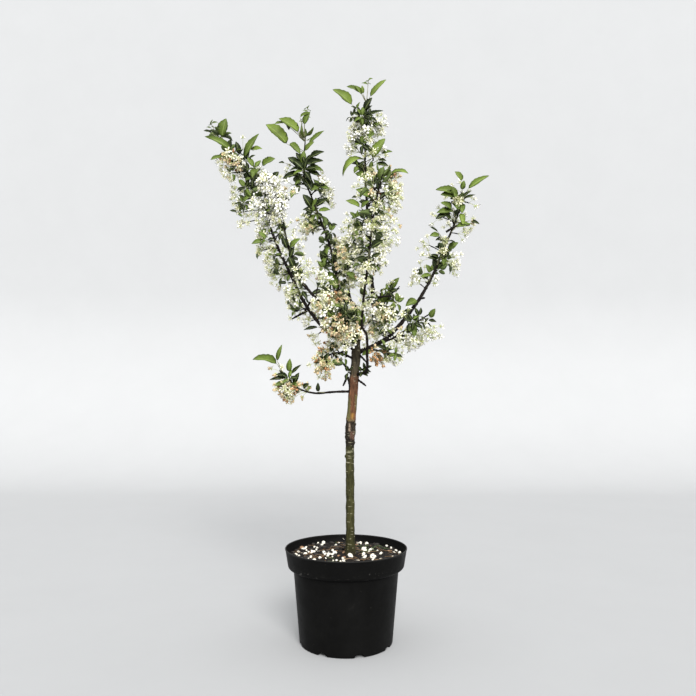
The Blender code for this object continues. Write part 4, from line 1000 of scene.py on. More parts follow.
def leaf_material(name, colour, roughness):
    """Leaf skin: colour by a broad noise, finer mottling and a slight unevenness."""
    material, tree = new_material(name, roughness, 0.14)
    stops = (0.30, scaled(colour, 0.62)), (0.52, colour), (0.74, scaled(colour, 1.35))
    broad = mottled(tree, stops, 26.0, 3.0, 0.5)
    fine = mottled(tree, ((0.35, grey(0.85)), (0.7, grey(1.12))), 420.0, 3.0, 0.6)
    veins = grain(tree, 260.0, 4.0, 0.6, 0.35, 0.0004)
    return linked(material, Base_Color=product(tree, broad, fine), Normal=veins)


def petal_material(name, colour, edge):
    """Petal skin: colour that wanders to an older tint over a fine noise."""
    material, tree = new_material(name, 0.55, 0.3)
    stops = (0.36, edge), (0.56, colour), (0.8, scaled(colour, 1.05))
    tone = mottled(tree, stops, 95.0, 4.0, 0.65)
    creases = grain(tree, 700.0, 3.0, 0.5, 0.25, 0.0002, (1, 1, 0.6))
    return linked(material, Base_Color=tone, Normal=creases)


def plastic_material(colour):
    """Moulded black plastic: slight sheen, fine grain, dry dust in the noise's hollows, and a painted
    highlight along the lip.
    """
    material, tree = new_material("black_plastic_finish", 0.5, 0.05)
    stops = (0.42, colour), (0.62, scaled(colour, 1.5)), (0.80, (0.016, 0.0155, 0.0145))
    tone = mottled(tree, stops, 14.0, 8.0, 0.75)
    fleck = onset(tree, noise(tree, 260.0, 2.0, 0.5), 0.755, 0.80)
    tone = blend_colours(tree, fleck, tone, (0.045, 0.043, 0.038))
    place = node(tree, "ShaderNodeTexCoord").outputs["Object"]
    height = node(tree, "ShaderNodeSeparateXYZ", {"Vector": place}).outputs["Z"]
    ledge = ramp(tree, height, ((0.1645, BLACK), (0.1680, WHITE), (0.1760, WHITE), (0.1840, BLACK)))
    crumbs = onset(tree, noise(tree, 150.0, 6.0, 0.75), 0.615, 0.66)
    tone = blend_colours(tree, product(tree, ledge, crumbs), tone, (0.10, 0.098, 0.092))
    # A painted highlight: the top of the lip is a lighter grey, standing in for the sheen along the
    # rim.
    tone = blend_colours(tree, onset(tree, height, 0.2086, 0.2098), tone, (0.024, 0.024, 0.0235))
    sheen = mottled(tree, ((0.3, grey(0.40)), (0.75, grey(0.62))), 30.0, 6.0, 0.7)
    return linked(material, Base_Color=tone, Roughness=sheen,
                  Normal=grain(tree, 900.0, 3.0, 0.5, 0.12, 0.0003))


def trunk_radius(height):
    """The stem's radius by height: a taper to the fork, a flare at the foot and swellings."""
    taper = np.clip((height - TAPER_START) / (TRUNK_COURSE[-1][2] - TAPER_START), 0, 1)
    radius = STEM_RADIUS + (FORK_RADIUS - STEM_RADIUS) * taper
    radius = radius * (1 + FLARE * np.exp(-(height - STEM_FOOT[2]) / FLARE_FADE))
    for middle, lift, spread in SWELLINGS:
        radius = radius + lift * bell(height, middle, spread)
    return radius


def trunk_shape(settings):
    """The stem as a round surface of height and turn, with relief added to its radius.

    Relief: long ridges stretched up the stem, slow lumps, knobs where twigs were cut, level
    lens-shaped pores below the graft, and cracked plates on the graft.
    """
    path, _, turn, ring = round_frame(lines()["trunk"], 620, 64)
    height = path[:, 2:3] + 0 * turn
    radius = trunk_radius(height)
    skin = path[:, None] + ring * radius[..., None]
    ridges = waves(skin * (1, 1, 0.14), 0.0042, 11, 22)
    lumps = waves(skin, 0.022, 12)
    fine = waves(skin * (1, 1, 0.5), 0.0019, 13, 22)
    graft = bell(height, 0.480, 0.024)
    upper = np.clip((height - 0.52) / 0.10, 0, 1)
    plates = np.abs(waves(skin, 0.0085, 14)) ** 0.6 - 0.5
    relief = settings.relief * (ridges * (0.35 + 0.9 * upper) + 0.9 * lumps + 0.30 * fine)
    relief = relief + graft * (0.0011 * plates + 0.0007 * lumps)

    def bump(level, angle, lift, tall, wide):
        """A bump at a height and an angle round the stem."""
        swing = (turn - angle + math.pi) % TAU - math.pi
        return lift * bell(height, level, tall) * bell(swing, 0, wide)

    low, high = PORE_HEIGHTS
    rng = np.random.default_rng(7)
    for level, angle in rng.uniform((low, 0), (high, TAU), (settings.lenticels, 2)):
        relief = relief + bump(level, angle, 0.00028, 0.0006, 0.17)
    for level, angle, lift in KNOBS:
        relief = relief + bump(level, angle, lift, 0.0034, 0.42)
    flare = np.exp(-(height - STEM_FOOT[2]) / 0.014)
    relief = relief + 0.0013 * flare * np.cos(turn * 5 + 0.6 + 0.5 * np.sin(turn))
    rings = path[:, None] + ring * (radius + relief)[..., None]
    rings[0, :, 2] = STEM_FOOT[2]
    return closed_tubes(rings[None], path[:1], path[-1:])


def bough_shape(bough, number):
    """One bough from its parent's axis to its tip, with knuckles, ridges and a swollen root."""
    line = lines()[bough.name]
    length = line_length(line)
    rows = max(12, round(length / 0.0016))
    path, tangents, turn, ring = round_frame(line, rows, 12)
    shares = np.linspace(0, 1, rows)
    root, tip = bough.radii
    radius = (tip + (root - tip) * (1 - shares) ** 0.8)[:, None] + 0 * turn
    away = shares[:, None] * length
    radius = radius * (1 + 0.45 * np.exp(-((away / 0.012) ** 2)) * (bough.leaves_at < 1))
    skin = path[:, None] + ring * radius[..., None]
    knuckles = 0.10 * np.maximum(0, np.sin(away * TAU / 0.019 + number)) ** 6
    ridges = 0.07 * waves(skin * (1, 1, 0.5), 0.0045, 30 + number)
    lumps = 0.09 * waves(skin, 0.014, 60 + number)
    rings = path[:, None] + ring * (radius * (1 + knuckles + ridges + lumps))[..., None]
    return closed_tubes(rings[None], path[:1], path[-1:] + tangents[-1:] * 0.001)


def photo_camera():
    """The photograph's camera: its eye, its tilt's cosine and sine, its focal length in pixels."""
    stage = bpy.context.scene.stage_settings
    return (np.array((stage.side, -stage.distance, stage.height)), math.cos(stage.tilt),
            math.sin(stage.tilt), stage.lens / SENSOR_WIDTH * PHOTO_SIDE)


def pixel_size(depth):
    """Metres to a pixel of the photograph at a depth."""
    eye, _, _, focal = photo_camera()
    return (depth - eye[1]) / focal


def view_point(mark, depth):
    """The point at a depth that shows at a mark.

    The ray through the mark leaves the camera along forward + across / f right + up / f above,
    with the mark's offsets from the picture's middle and the focal length f in pixels.
    """
    eye, cosine, sine, focal = photo_camera()
    across, up = (mark[0] - PHOTO_SIDE / 2) / focal, (PHOTO_SIDE / 2 - mark[1]) / focal
    ray = np.array((across, cosine - up * sine, sine + up * cosine))
    return eye + ray * (depth - eye[1]) / ray[1]


def marks_of(points):
    """Where points show in the photograph, view_point turned about: their offsets from the eye
    along the lens's across and up, over those along its forward, times the focal length.
    """
    eye, cosine, sine, focal = photo_camera()
    ray = points - eye
    forward = ray[:, 1] * cosine + ray[:, 2] * sine
    up = ray[:, 2] * cosine - ray[:, 1] * sine
    middle = PHOTO_SIDE / 2
    return np.stack([middle + focal * ray[:, 0] / forward, middle - focal * up / forward], 1)


def beside(line, mark, ahead):
    """The point at a mark that lies a little before the nearest part of a line, and that part."""
    near = len(line) // 2
    for _ in range(6):
        point = view_point(mark, line[near, 1] - ahead)
        near = int(np.hypot(line[:, 0] - point[0], line[:, 2] - point[2]).argmin())
    return point, near


def marked_rows(table):
    """A bough's name and a row, for each row of a table of marks."""
    return ((name, row) for name, rows in table.items() for row in rows)


@lru_cache(maxsize=1)
def growth():
    """Twigs, leaves and flowers on every bough, by the source's rule carried to finer twigs.

    Spurs stand round each mass's stem by the golden angle. Each has a rosette of leaves, and
    most have an umbel. Blossom is dealt a fade by its mass and by the spots where it withered.
    """
    found = Growth(bpy.context.scene.foliage_settings, bpy.context.scene.blossom_settings)
    for number, bough in enumerate(BOUGHS):
        found.cover_bough(bough, number)
    for name, (*mark, fade, count) in marked_rows(UMBELS):
        found.add_clump(name, mark, fade, count, np.random.default_rng(mark))
    for name, (*mark, count, size, kind) in marked_rows(LEAF_STARS):
        rng = np.random.default_rng((*mark, 1))
        ahead = rng.uniform(0.018, 0.038 if name in HIDDEN_BOUGHS else 0.030)
        found.add_star(lines()[name], mark, ahead, count, size, kind, rng)
    for name, (*marks, arch, kind) in marked_rows(VIEW_LEAVES):
        found.add_view_leaf(lines()[name], marks[:2], marks[2:], arch, kind)
    for number, (foot, top, depth) in enumerate(SHOOTS):
        found.add_shoot(foot, top, depth, np.random.default_rng(700 + number))
    for name, marks in marked_rows(STUBS):
        found.add_stub(lines()[name], marks[:2], marks[2:])
    for number, (middle, depth, count, size) in enumerate(ROSETTES):
        found.add_stem_rosette(middle, depth, count, size, np.random.default_rng(800 + number))
    found.keep_clear()
    return found


class Growth:
    """The twigs, leaves and flowers of the crown."""

    def __init__(self, foliage, blossom):
        self.foliage, self.blossom = foliage, blossom
        self.twigs, self.leaves, self.flowers = [], [], []

    def add_twig(self, root, tip, bend, low, high, woody=True):
        """A twig whose middle is shifted by a bend, with its radii at the root and the tip."""
        self.twigs.append(Twig(root, (root + tip) / 2 + bend, tip, low, high, woody))

    def cover_bough(self, bough, number):
        """Spurs along a bough's masses, and the leaves that end it."""
        line = lines()[bough.name]
        length = line_length(line)
        rng = np.random.default_rng(500 + number)
        turn = rng.uniform(0, TAU)
        start = bough.bare * 0.75
        for mass in map(Mass._make, bough.masses):
            place = start * length + 0.004
            while place < mass.end * length - 0.003:
                turn += GOLDEN_ANGLE
                self.add_spur(line, place / length, turn, mass, rng)
                place += mass.spacing * rng.uniform(0.75, 1.25) / self.foliage.density
            start = mass.end
        if bough.name not in MARKED_TIPS:
            self.end_bough(line, rng)

    def add_spur(self, line, share, turn, mass, rng):
        """One spur with its rosette, and an umbel if it blossoms.

        Those on the photographed side come from the tables of marks.
        """
        root = along_line(line, share)
        tangent = unit(along_line(line, share + 0.01) - along_line(line, share - 0.01))
        side = unit(np.cross(tangent, DEPTH))
        lift = rng.uniform(math.radians(15), math.radians(55))
        radial = towards(side, np.cross(tangent, side), turn)
        if radial[1] < 0.0:
            return
        along = unit(towards(radial, tangent, lift))
        length = rng.uniform(0.008, 0.026)
        bend = unit(along + 0.5 * UP * rng.uniform(0, 1))
        tip = root + along * length * 0.5 + bend * length * 0.5
        self.twigs.append(Twig(root, root + along * length * 0.5, tip, 0.0014, 0.0021, True))
        if rng.random() >= mass.blossom:
            tints = (SHADE_DARK, FULL, FULL, FULL, YOUNG)
            self.add_rosette(tip, bend, radial, rng.integers(6, 9), tints, rng)
            return
        self.add_rosette(tip, bend, radial, rng.integers(2, 4), (SHADE_DARK, SHADE_DARK, FULL, FULL), rng)
        fade = mass.fade
        for x, z, radius, strength in FADE_SPOTS:
            if math.hypot(tip[0] - x, tip[2] - z) < radius:
                fade = strength
        count = self.blossom.flowers + rng.integers(-2, 3)
        axis = unit(bend - 0.15 * UP)
        self.add_umbel(tip, axis, count, self.blossom.stalk_length, fade, 1.05, rng)

    def add_clump(self, name, mark, fade, count, rng):
        """An umbel that shows at a mark, on a spur from the nearest bough.

        Where it would cross its bough, a faded umbel or one of a hidden bough stands before it
        and any other behind.
        """
        line = lines()[name]
        middle, near = beside(line, mark, -0.006)
        base = line[max(0, near - 3)]
        aside = math.dist(middle[::2], line[near, ::2])
        old = fade > FADE_EDGES[1]
        if aside < CLUMP_NEAR:
            ahead = CLUMP_BEFORE if old or name in HIDDEN_BOUGHS else CLUMP_BEHIND
            middle = view_point(mark, line[near, 1] - ahead * (1.0 if aside < 0.016 else 0.6))
        head = middle + (0.0, rng.normal(0, 0.006), 0.0)
        gap = float(np.linalg.norm(head - base))
        way = (head - base) / gap
        small = count < 7
        stalk = min(self.blossom.stalk_length, max(0.020, gap * 0.75)) * (0.80 if small else 1.0)
        if fade > BARE_FADE:
            stalk = 0.013
        tip = base + way * max(0.006, gap - stalk * 0.85) + 0.0015 * rng.normal(size=3)
        self.add_twig(base, tip, 0.002 * UP, 0.0012, 0.0017)
        # Dark leaves under a large clump add painted shade: dark spots among the blossom.
        self.add_rosette(tip, way, way, 0 if small else 3, (SHADE_DARK, SHADE_DARK, SHADE_DARK, FULL), rng)
        full = 1.0 if small else 1.5 if old else 1.3
        self.add_umbel(tip, unit(way - 0.2 * DEPTH), round(count * full), stalk, fade, 1.0, rng)

    def add_rosette(self, tip, axis, outward, count, tints, rng):
        """Leaves round an axis by the golden angle, their faces turned up and outwards."""
        across, over = square_pair(axis, rng)
        for k in range(count):
            spin = k * GOLDEN_ANGLE + rng.uniform(-0.35, 0.35)
            lean = rng.uniform(math.radians(35), math.radians(90))
            way = unit(towards(axis, towards(across, over, spin), lean) + 0.10 * UP)
            size = self.foliage.leaf_length * rng.uniform(0.72, 1.25)
            self.add_leaf(tip, way, 0.55 * UP + 0.65 * outward + 0.25 * rng.normal(size=3), size,
                          size * rng.uniform(0.50, 0.66), rng.uniform(0.1, 1.0),
                          rng.uniform(0.2, 0.8), rng.uniform(0.003, 0.010), rng.choice(tints))

    def add_leaf(self, root, way, facing, length, width, arch, fold, stalk, tint):
        """One leaf. Its face is turned as far towards a direction as its own direction allows."""
        normal = square_part(facing, way)
        self.leaves.append(Leaf(root, way, normal, length, width, arch, fold, stalk, tint))

    def add_umbel(self, tip, axis, count, stalk, fade, spread, rng):
        """Flowers on stalks that spread round an axis by the golden angle, from its middle out."""
        across, over = square_pair(axis, rng)
        for k in range(count):
            spin = k * GOLDEN_ANGLE + rng.uniform(-0.3, 0.3)
            lean = spread * math.sqrt((k + 0.6) / count)
            way = unit(towards(axis, towards(across, over, spin), lean))
            self.flowers.append(Flower(
                tip, way, stalk * rng.uniform(0.70, 1.12), rng.uniform(0.05, 0.50),
                unit(way + 0.35 * rng.normal(size=3)),
                self.blossom.petal_length * rng.uniform(0.85, 1.12), self.flower_kind(fade, rng)))

    def flower_kind(self, fade, rng):
        """The kind of one flower where the blossom is as faded as given."""
        if fade > BARE_FADE:
            return BARE if rng.random() < 0.75 else AGEING
        score = fade + rng.normal(0, 0.17)
        dropped = rng.random() < 0.10
        return BARE if dropped else sum(score > edge for edge in FADE_EDGES)

    def end_bough(self, line, rng):
        """The cluster of long young leaves at a bough's end."""
        tangent = unit(line[-1] - line[-3])
        across, over = square_pair(tangent, rng)
        for k in range(6):
            lean = rng.uniform(math.radians(18), math.radians(60))
            out = towards(across, over, k * GOLDEN_ANGLE)
            way = unit(towards(tangent, out, lean))
            size = self.foliage.leaf_length * rng.uniform(1.0, 1.5)
            self.add_leaf(line[-1] - tangent * 0.0035 * k, way, 0.5 * UP + out, size,
                          size * rng.uniform(0.38, 0.50), rng.uniform(0.2, 0.9),
                          rng.uniform(0.3, 0.7), 0.004, YOUNG)

    def add_star(self, line, mark, ahead, count, size, kind, rng):
        """Leaves that spread from a short spur in front of a bough, seen from above their faces."""
        tip, near = beside(line, mark, ahead)
        base = line[max(0, near - 2)]
        sag = rng.uniform(-0.004, 0.008) * UP + rng.uniform(-0.003, 0.003) * np.array((1, 0, 0))
        self.add_twig(base, tip, sag, 0.0012, 0.0017)
        turn = rng.uniform(0, TAU)
        for k in range(count):
            spin = turn + k * GOLDEN_ANGLE + rng.uniform(-0.25, 0.25)
            way = unit(np.array((math.cos(spin), -rng.uniform(0.0, 0.5), math.sin(spin) + 0.10)))
            length = pixel_size(tip[1]) * size * rng.uniform(0.80, 1.25)
            shade = int(np.clip(kind + rng.choice((-1, 0, 0, 0, 1)), SHADE_DARK, FULL))
            width = length * rng.uniform(0.34, 0.50) * (1.0 if shade == SHADE_DARK else 1.25)
            self.add_leaf(tip, way, 0.45 * UP - 0.80 * DEPTH + 0.30 * rng.normal(size=3), length,
                          width, rng.uniform(0.1, 0.9), rng.uniform(0.3, 0.8),
                          rng.uniform(0.002, 0.005), shade)

    def add_view_leaf(self, line, foot, tip, arch, kind):
        """A leaf that shows from one mark to another, on a stalk from its bough.

        The line between its ends is the chord of its arc, so the leaf is longer than the chord
        by the arc's angle squared over 24, and it starts half that angle off the chord.
        """
        foot, near = beside(line, foot, 0.014)
        tip = view_point(tip, foot[1] - 0.008)
        root = line[max(0, near - 4)]
        way = unit(tip - foot)
        normal = square_part(UP * (1.0 if arch > 0.8 else 0.45) - DEPTH, way)
        length = float(np.linalg.norm(tip - foot)) * (1 + arch**2 / 24)
        way = unit(towards(way, normal, arch / 2))
        self.add_twig(root, foot, 0.1 * (foot - root)[2] * UP, 0.0010, 0.0007, False)
        width = length * MARKED_WIDTHS[kind // 3]
        self.add_leaf(foot, way, normal, length, width, arch, 0.6, 0.0015, kind % 3)

    def add_stub(self, line, foot, end):
        """A bare twig that shows from one mark to another."""
        foot, _ = beside(line, foot, 0.002)
        end = view_point(end, foot[1] - 0.006)
        self.add_twig(foot, end, np.array((0.0012, 0.0, 0.0016)), 0.0030, 0.0022)

    def add_shoot(self, foot, top, depth, rng):
        """A thin green shoot with a few unfolding leaves at its top."""
        foot, top = np.array((foot[0], depth, foot[1])), np.array((top[0], depth, top[1]))
        self.add_twig(foot, top, np.array((0.0015, 0.0, 0.0)), 0.0009, 0.0006, False)
        for k in range(5):
            spin = k * GOLDEN_ANGLE
            out = np.array((math.cos(spin), math.sin(spin), 0.0))
            way = unit(0.5 * UP + out * rng.uniform(0.6, 1.4))
            size = rng.uniform(0.012, 0.019)
            self.add_leaf(top - UP * 0.003 * k, way, 0.4 * UP - 0.6 * DEPTH + 0.3 * out, size,
                          size * 0.34, 0.8, 0.6, 0.001, FULL)

    def add_stem_rosette(self, middle, depth, count, size, rng):
        """A few small dark leaves on a short spur in front of the stem."""
        tip = np.array((middle[0], depth, middle[1]))
        line = lines()["trunk"]
        root = line[int(np.abs(line[:, 2] - middle[1] + 0.006).argmin())]
        self.add_twig(root, tip, 0.0, 0.0016, 0.0018)
        away = unit(tip - root)
        for k in range(count):
            spin = k * GOLDEN_ANGLE + rng.uniform(0, 0.6)
            way = unit(0.8 * away + np.array((math.cos(spin), -0.3, math.sin(spin))))
            self.add_leaf(tip, way, -DEPTH + 0.5 * UP + 0.3 * rng.normal(size=3),
                          size * rng.uniform(0.8, 1.2), size * 0.55, 0.4, 0.3, 0.003, SHADE_DARK)

    def keep_clear(self):
        """Drops leaves and flowers that would cut a bough or reach out of the tree's box."""
        axes = np.vstack([line[::2] for line in lines().values()])
        low, high = np.array(cad_box[0]) - BEYOND_LOW, np.array(cad_box[1]) + BEYOND_HIGH
        across, down, radius = np.array(OPENINGS, float).T

        def stays(points, room):
            """Whether points keep their room, lie in the box and end outside the openings."""
            near = np.linalg.norm(points[:, None] - axes[None], axis=2).min()
            mark = marks_of(points[-1:])[0]
            shut = (np.hypot(across - mark[0], down - mark[1]) > radius).all()
            return shut and near > room and (points > low).all() and (points < high).all()

        shares = np.array((0.45, 0.75, 1.0))[:, None]
        self.leaves = [
            leaf for leaf in self.leaves
            if stays(leaf.root + leaf.along * shares * (leaf.length + leaf.stalk), LEAF_ROOM)]
        self.flowers = [
            flower for flower in self.flowers
            if stays((flower.root + flower.along * flower.stalk)[None], FLOWER_ROOM)]


def columns(items):
    """A named tuple of arrays, one row for each item."""
    return type(items[0])(*(np.array(column) for column in zip(*items)))


def bent_paths(root, along, down, length, angle, rows):
    """Arcs of a length that turn by an angle from their direction towards another.

    A point at share t lies sin(a t)/a forward and (1 - cos(a t))/a towards the other, times
    the length. Gives points, tangents and the direction square to the arc on its outer side.
    """
    t = np.linspace(0, 1, rows)[None, :, None]
    a = np.maximum(np.abs(angle), 1e-3)[:, None, None]
    sign = np.where(angle < 0, -1.0, 1.0)[:, None, None]
    forward, bend = along[:, None], down[:, None] * sign
    size = length[:, None, None]
    points = root[:, None] + size * (np.sin(a * t) / a * forward + (1 - np.cos(a * t)) / a * bend)
    tangents = np.cos(a * t) * forward + np.sin(a * t) * bend
    outer = (np.sin(a * t) * forward - np.cos(a * t) * bend) * sign
    return points, tangents, outer


def blade_shapes(root, along, normal, length, width, arch, fold, curve, teeth, rows, sides):
    """Leaf or petal blades: closed lenses of flat rings along arcs, pointed at both ends.

    Half width at share t is t^p (1 - t)^q scaled to its largest. The two halves fold up from
    the midrib, the edge waves a little, and every other row is a tooth. "sides" gives a ring's
    places across, from edge to edge over the face and back below it, and their lift.
    """
    count = len(root)
    points, tangents, outer = bent_paths(root, along, -normal, length, arch, rows + 2)
    t = np.linspace(0, 1, rows + 2)[1:-1]
    p, q = curve
    peak = (p / (p + q)) ** p * (q / (p + q)) ** q
    half = t**p * (1 - t) ** q / peak * (1 + teeth * (-1.0) ** np.arange(rows))
    half = half[None] * width[:, None] / 2
    lift = outer[:, 1:-1]
    side = np.cross(lift, tangents[:, 1:-1])
    rng = np.random.default_rng(count)
    wave = 0.12 * np.sin(TAU * 1.6 * t[None] + rng.uniform(0, TAU, (count, 1))) * half
    thick = (length * 0.010)[:, None] * np.sin(math.pi * t)[None] ** 0.5
    across, rise = np.array(sides).T
    place = points[:, 1:-1, None] + side[:, :, None] * (half[..., None] * across)[..., None]
    up = (fold[:, None, None] * half[..., None] * np.abs(across)
          + wave[..., None] * across + thick[..., None] * rise)
    return closed_tubes(place + lift[:, :, None] * up[..., None], points[:, 0], points[:, -1])


# Blades of leaves and petals: the places round a ring, and the powers p and q of their outline
LEAF_SIDES = ((1, 0), (0.07, 1), (0, 1.6), (-0.07, 1), (-1, 0), (0, -1))
LEAF_CURVE = (0.66, 0.95)
PETAL_SIDES = ((1, 0), (0, 1), (-1, 0), (0, -1))
PETAL_CURVE = (0.75, 0.42)
PETALS = 5


def leaf_shapes(leaves):
    """Leaves with short stalks. Gives the shape and its faces' kinds: face, midrib, underside."""
    data = columns(leaves)
    foot = data.root + data.along * data.stalk[:, None]
    rows = 11
    blades = blade_shapes(foot, data.along, data.normal, data.length, data.width, data.arch,
                          data.fold, LEAF_CURVE, 0.05, rows, LEAF_SIDES)
    ring = np.array((0, 1, 1, 0, 2, 2))
    kinds = np.tile(np.concatenate([np.tile(ring, rows - 1), ring, ring]), len(leaves))
    paths = data.root[:, None] + data.along[:, None] * (
        np.linspace(-0.1, 1.15, 3)[None, :, None] * data.stalk[:, None, None])
    stalks = tubes(paths, np.array((0.0006, 0.0005, 0.0003))[None], 3, data.normal)
    kinds = np.concatenate([kinds, np.ones(len(stalks[1]), int)])
    return joined([blades, stalks]), kinds


def stalk_ends(data):
    """The sagging stalks of flowers: their arcs, their heads' axes and two directions square."""
    side = unit(np.cross(data.along, UP + 0.01))
    down = np.cross(side, data.along)
    down = np.where(down[:, 2:3] > 0, -down, down)
    paths, tangents, _ = bent_paths(data.root - data.along * 0.001, data.along, down, data.stalk,
                                    data.sag, 4)
    axis = unit(tangents[:, -1] * 0.5 + data.facing)
    first = unit(np.cross(axis, UP + 0.02))
    return paths, axis, first, np.cross(axis, first)


def petal_shapes(data, opened, spread, curl, narrow, size):
    """Five petals round each flower's axis: lens-shaped blades that open from it and curl.

    "opened" is the angle between axis and petal, "curl" the arc that the petal turns through.
    """
    paths, axis, first, second = stalk_ends(data)
    count = len(axis)
    rng = np.random.default_rng(count + 3)
    each = (count, PETALS)
    turn = round_turns(PETALS) + rng.uniform(0, TAU, (count, 1)) + rng.normal(0, 0.10, each)
    lean = opened + rng.normal(0, spread, each)
    radial = circle(first[:, None], second[:, None], turn)
    way = circle(axis[:, None], radial, lean)
    normal = np.sin(lean)[..., None] * axis[:, None] - np.cos(lean)[..., None] * radial
    root = paths[:, -1:] + axis[:, None] * 0.0018 + radial * 0.0009
    length = (size * data.radius[:, None] * rng.uniform(0.85, 1.1, each)).ravel()
    arch = (curl + rng.normal(0, 0.2 + abs(curl) * 0.5, each)).ravel()
    fold = rng.uniform(0.0, 0.35, count * PETALS)
    flat = [field.reshape(-1, 3) for field in (root, way, normal)]
    return blade_shapes(*flat, length, length * narrow, arch, fold, PETAL_CURVE, 0.0, 3,
                        PETAL_SIDES)


def flower_greens(flowers):
    """Stalks, cups and pointed sepals. Gives the shape and 1 on faces of withered flowers."""
    data = columns(flowers)
    paths, axis, side, over = stalk_ends(data)
    widths = np.array((0.00050, 0.00042, 0.00042, 0.00060))[None]
    stalks = tubes(paths, widths, 3, np.cross(data.along, side))
    cup = paths[:, -1:] + axis[:, None] * np.array((-0.0012, 0.0004, 0.0020))[None, :, None]
    cups = tubes(cup, np.array((0.0007, 0.0015, 0.0013))[None], 5, side)
    radial = circle(side[:, None], over[:, None], (np.arange(PETALS) + 0.5) * TAU / PETALS)
    way = unit(radial - 0.35 * axis[:, None]).reshape(-1, 3)
    root = (paths[:, -1:] + axis[:, None] * 0.0010 + radial * 0.0010).reshape(-1, 3)
    sepals = thin_spikes(root, way, 0.0048, 0.0009)
    old = (data.tint == WITHERED).astype(int)
    kinds = [np.repeat(old, len(shape[1]) // len(old)) for shape in (stalks, cups, sepals)]
    return joined([stalks, cups, sepals]), np.concatenate(kinds)


def thin_spikes(root, way, length, radius, widest=0.3):
    """Closed slivers: a three-sided ring near the foot, with a pole at each end."""
    side = unit(np.cross(way, UP + 0.05))
    ring = circle(side[:, None], np.cross(way, side)[:, None], round_turns(3))
    length = np.broadcast_to(np.asarray(length, float), (len(root),))[:, None]
    rings = (root + way * length * widest)[:, None] + ring * radius
    return closed_tubes(rings[:, None], root, root + way * length)


def flower_stamens(flowers):
    """Stamens that spread from each flower: slivers that are widest at their anthers."""
    data = columns(flowers)
    paths, axis, side, over = stalk_ends(data)
    count, threads = len(flowers), 12
    rng = np.random.default_rng(91)
    turn = np.arange(threads) * TAU * 0.382 + rng.uniform(-0.3, 0.3, (count, threads))
    lean = rng.uniform(0.10, 1.20, (count, threads))
    way = circle(axis[:, None], circle(side[:, None], over[:, None], turn), lean).reshape(-1, 3)
    root = np.repeat(paths[:, -1] + axis * 0.0018, threads, axis=0)
    return thin_spikes(root, way, rng.uniform(0.0052, 0.0082, count * threads), 0.00042, 0.82)


def twig_shapes(twigs):
    """Twigs as six-sided tubes that bend, ringed with scars. A spur swells at its end."""
    data = columns(twigs)
    t = np.linspace(0, 1, 9)[None, :, None]
    paths = ((1 - t) ** 2 * data.root[:, None] + 2 * t * (1 - t) * data.middle[:, None]
             + t**2 * data.tip[:, None])
    share = t[..., 0]
    radii = data.low[:, None] + (data.high - data.low)[:, None] * share**2
    radii = radii * (1 + 0.14 * np.cos(share * math.pi * 8)) * np.where(share == 1, 0.6, 1.0)
    reference = unit(np.cross(data.tip - data.root, np.array((0.31, 0.22, 0.4))))
    return tubes(paths, radii, 6, reference)


def rounding(radius, height, out, up, bend):
    """A rounded corner of the outline: the sine of the bend outwards and its cosine upwards."""
    return [(radius + out * math.sin(a), height + up * math.cos(a)) for a in bend]


def pot_profile(settings):
    """The pot's outline as (radius, height), outside from the middle up."""
    rim, top, foot, wall = settings.rim_radius, settings.height, settings.foot_radius, settings.wall
    band = top - settings.band_height
    bend = np.linspace(0, math.pi / 2, 7)
    floor = [(radius, 0.0) for radius in np.linspace(HUB_RADIUS, foot - 0.0175, 6)]
    heel = [(radius, 0.0) for radius in np.linspace(foot - 0.0165, foot - 0.0045, 8)]
    corner = rounding(foot - FOOT_ROUND, FOOT_ROUND, FOOT_ROUND, -FOOT_ROUND, bend)
    body = [(foot + (STEP_RADIUS - foot) * s, FOOT_ROUND + (band - 0.0105) * s)
            for s in np.linspace(0.03, 1, 26)]
    step = [(STEP_RADIUS + (STEP_END - STEP_RADIUS) * s, band - 0.0070 + 0.0012 * s**2)
            for s in np.linspace(0.15, 1, 5)]
    turn = rounding(STEP_END, band + 0.0017, BAND_RADIUS - STEP_END, -0.0075, bend[1:])
    rise = [(BAND_RADIUS + (rim - 0.0012 - BAND_RADIUS) * s,
             band + 0.0017 + (top - 0.0052 - band - 0.0017) * s) for s in np.linspace(0.08, 1, 10)]
    bead = rounding(rim - 0.0014, top - 0.0017, 0.0014, -0.0017, bend[2:])
    lip = rounding(rim - 0.0012, top - 0.0012, 0.0012, 0.0012, bend[-2::-1])
    inner = rounding(rim - wall + 0.0008, top - 0.0008, -0.0008, 0.0008, bend[::2])
    down = [(rim - wall, top - 0.004), (BAND_RADIUS - wall, band + 0.003),
            (STEP_RADIUS - wall, band - 0.0045), (foot - wall, FLOOR_TOP + 0.004),
            (foot - wall - 0.002, FLOOR_TOP), (foot - 0.017, FLOOR_TOP), (HUB_RADIUS, FLOOR_TOP)]
    outside = floor + heel + corner + body + step + turn + rise + bead + lip
    return np.array(outside + inner + down)


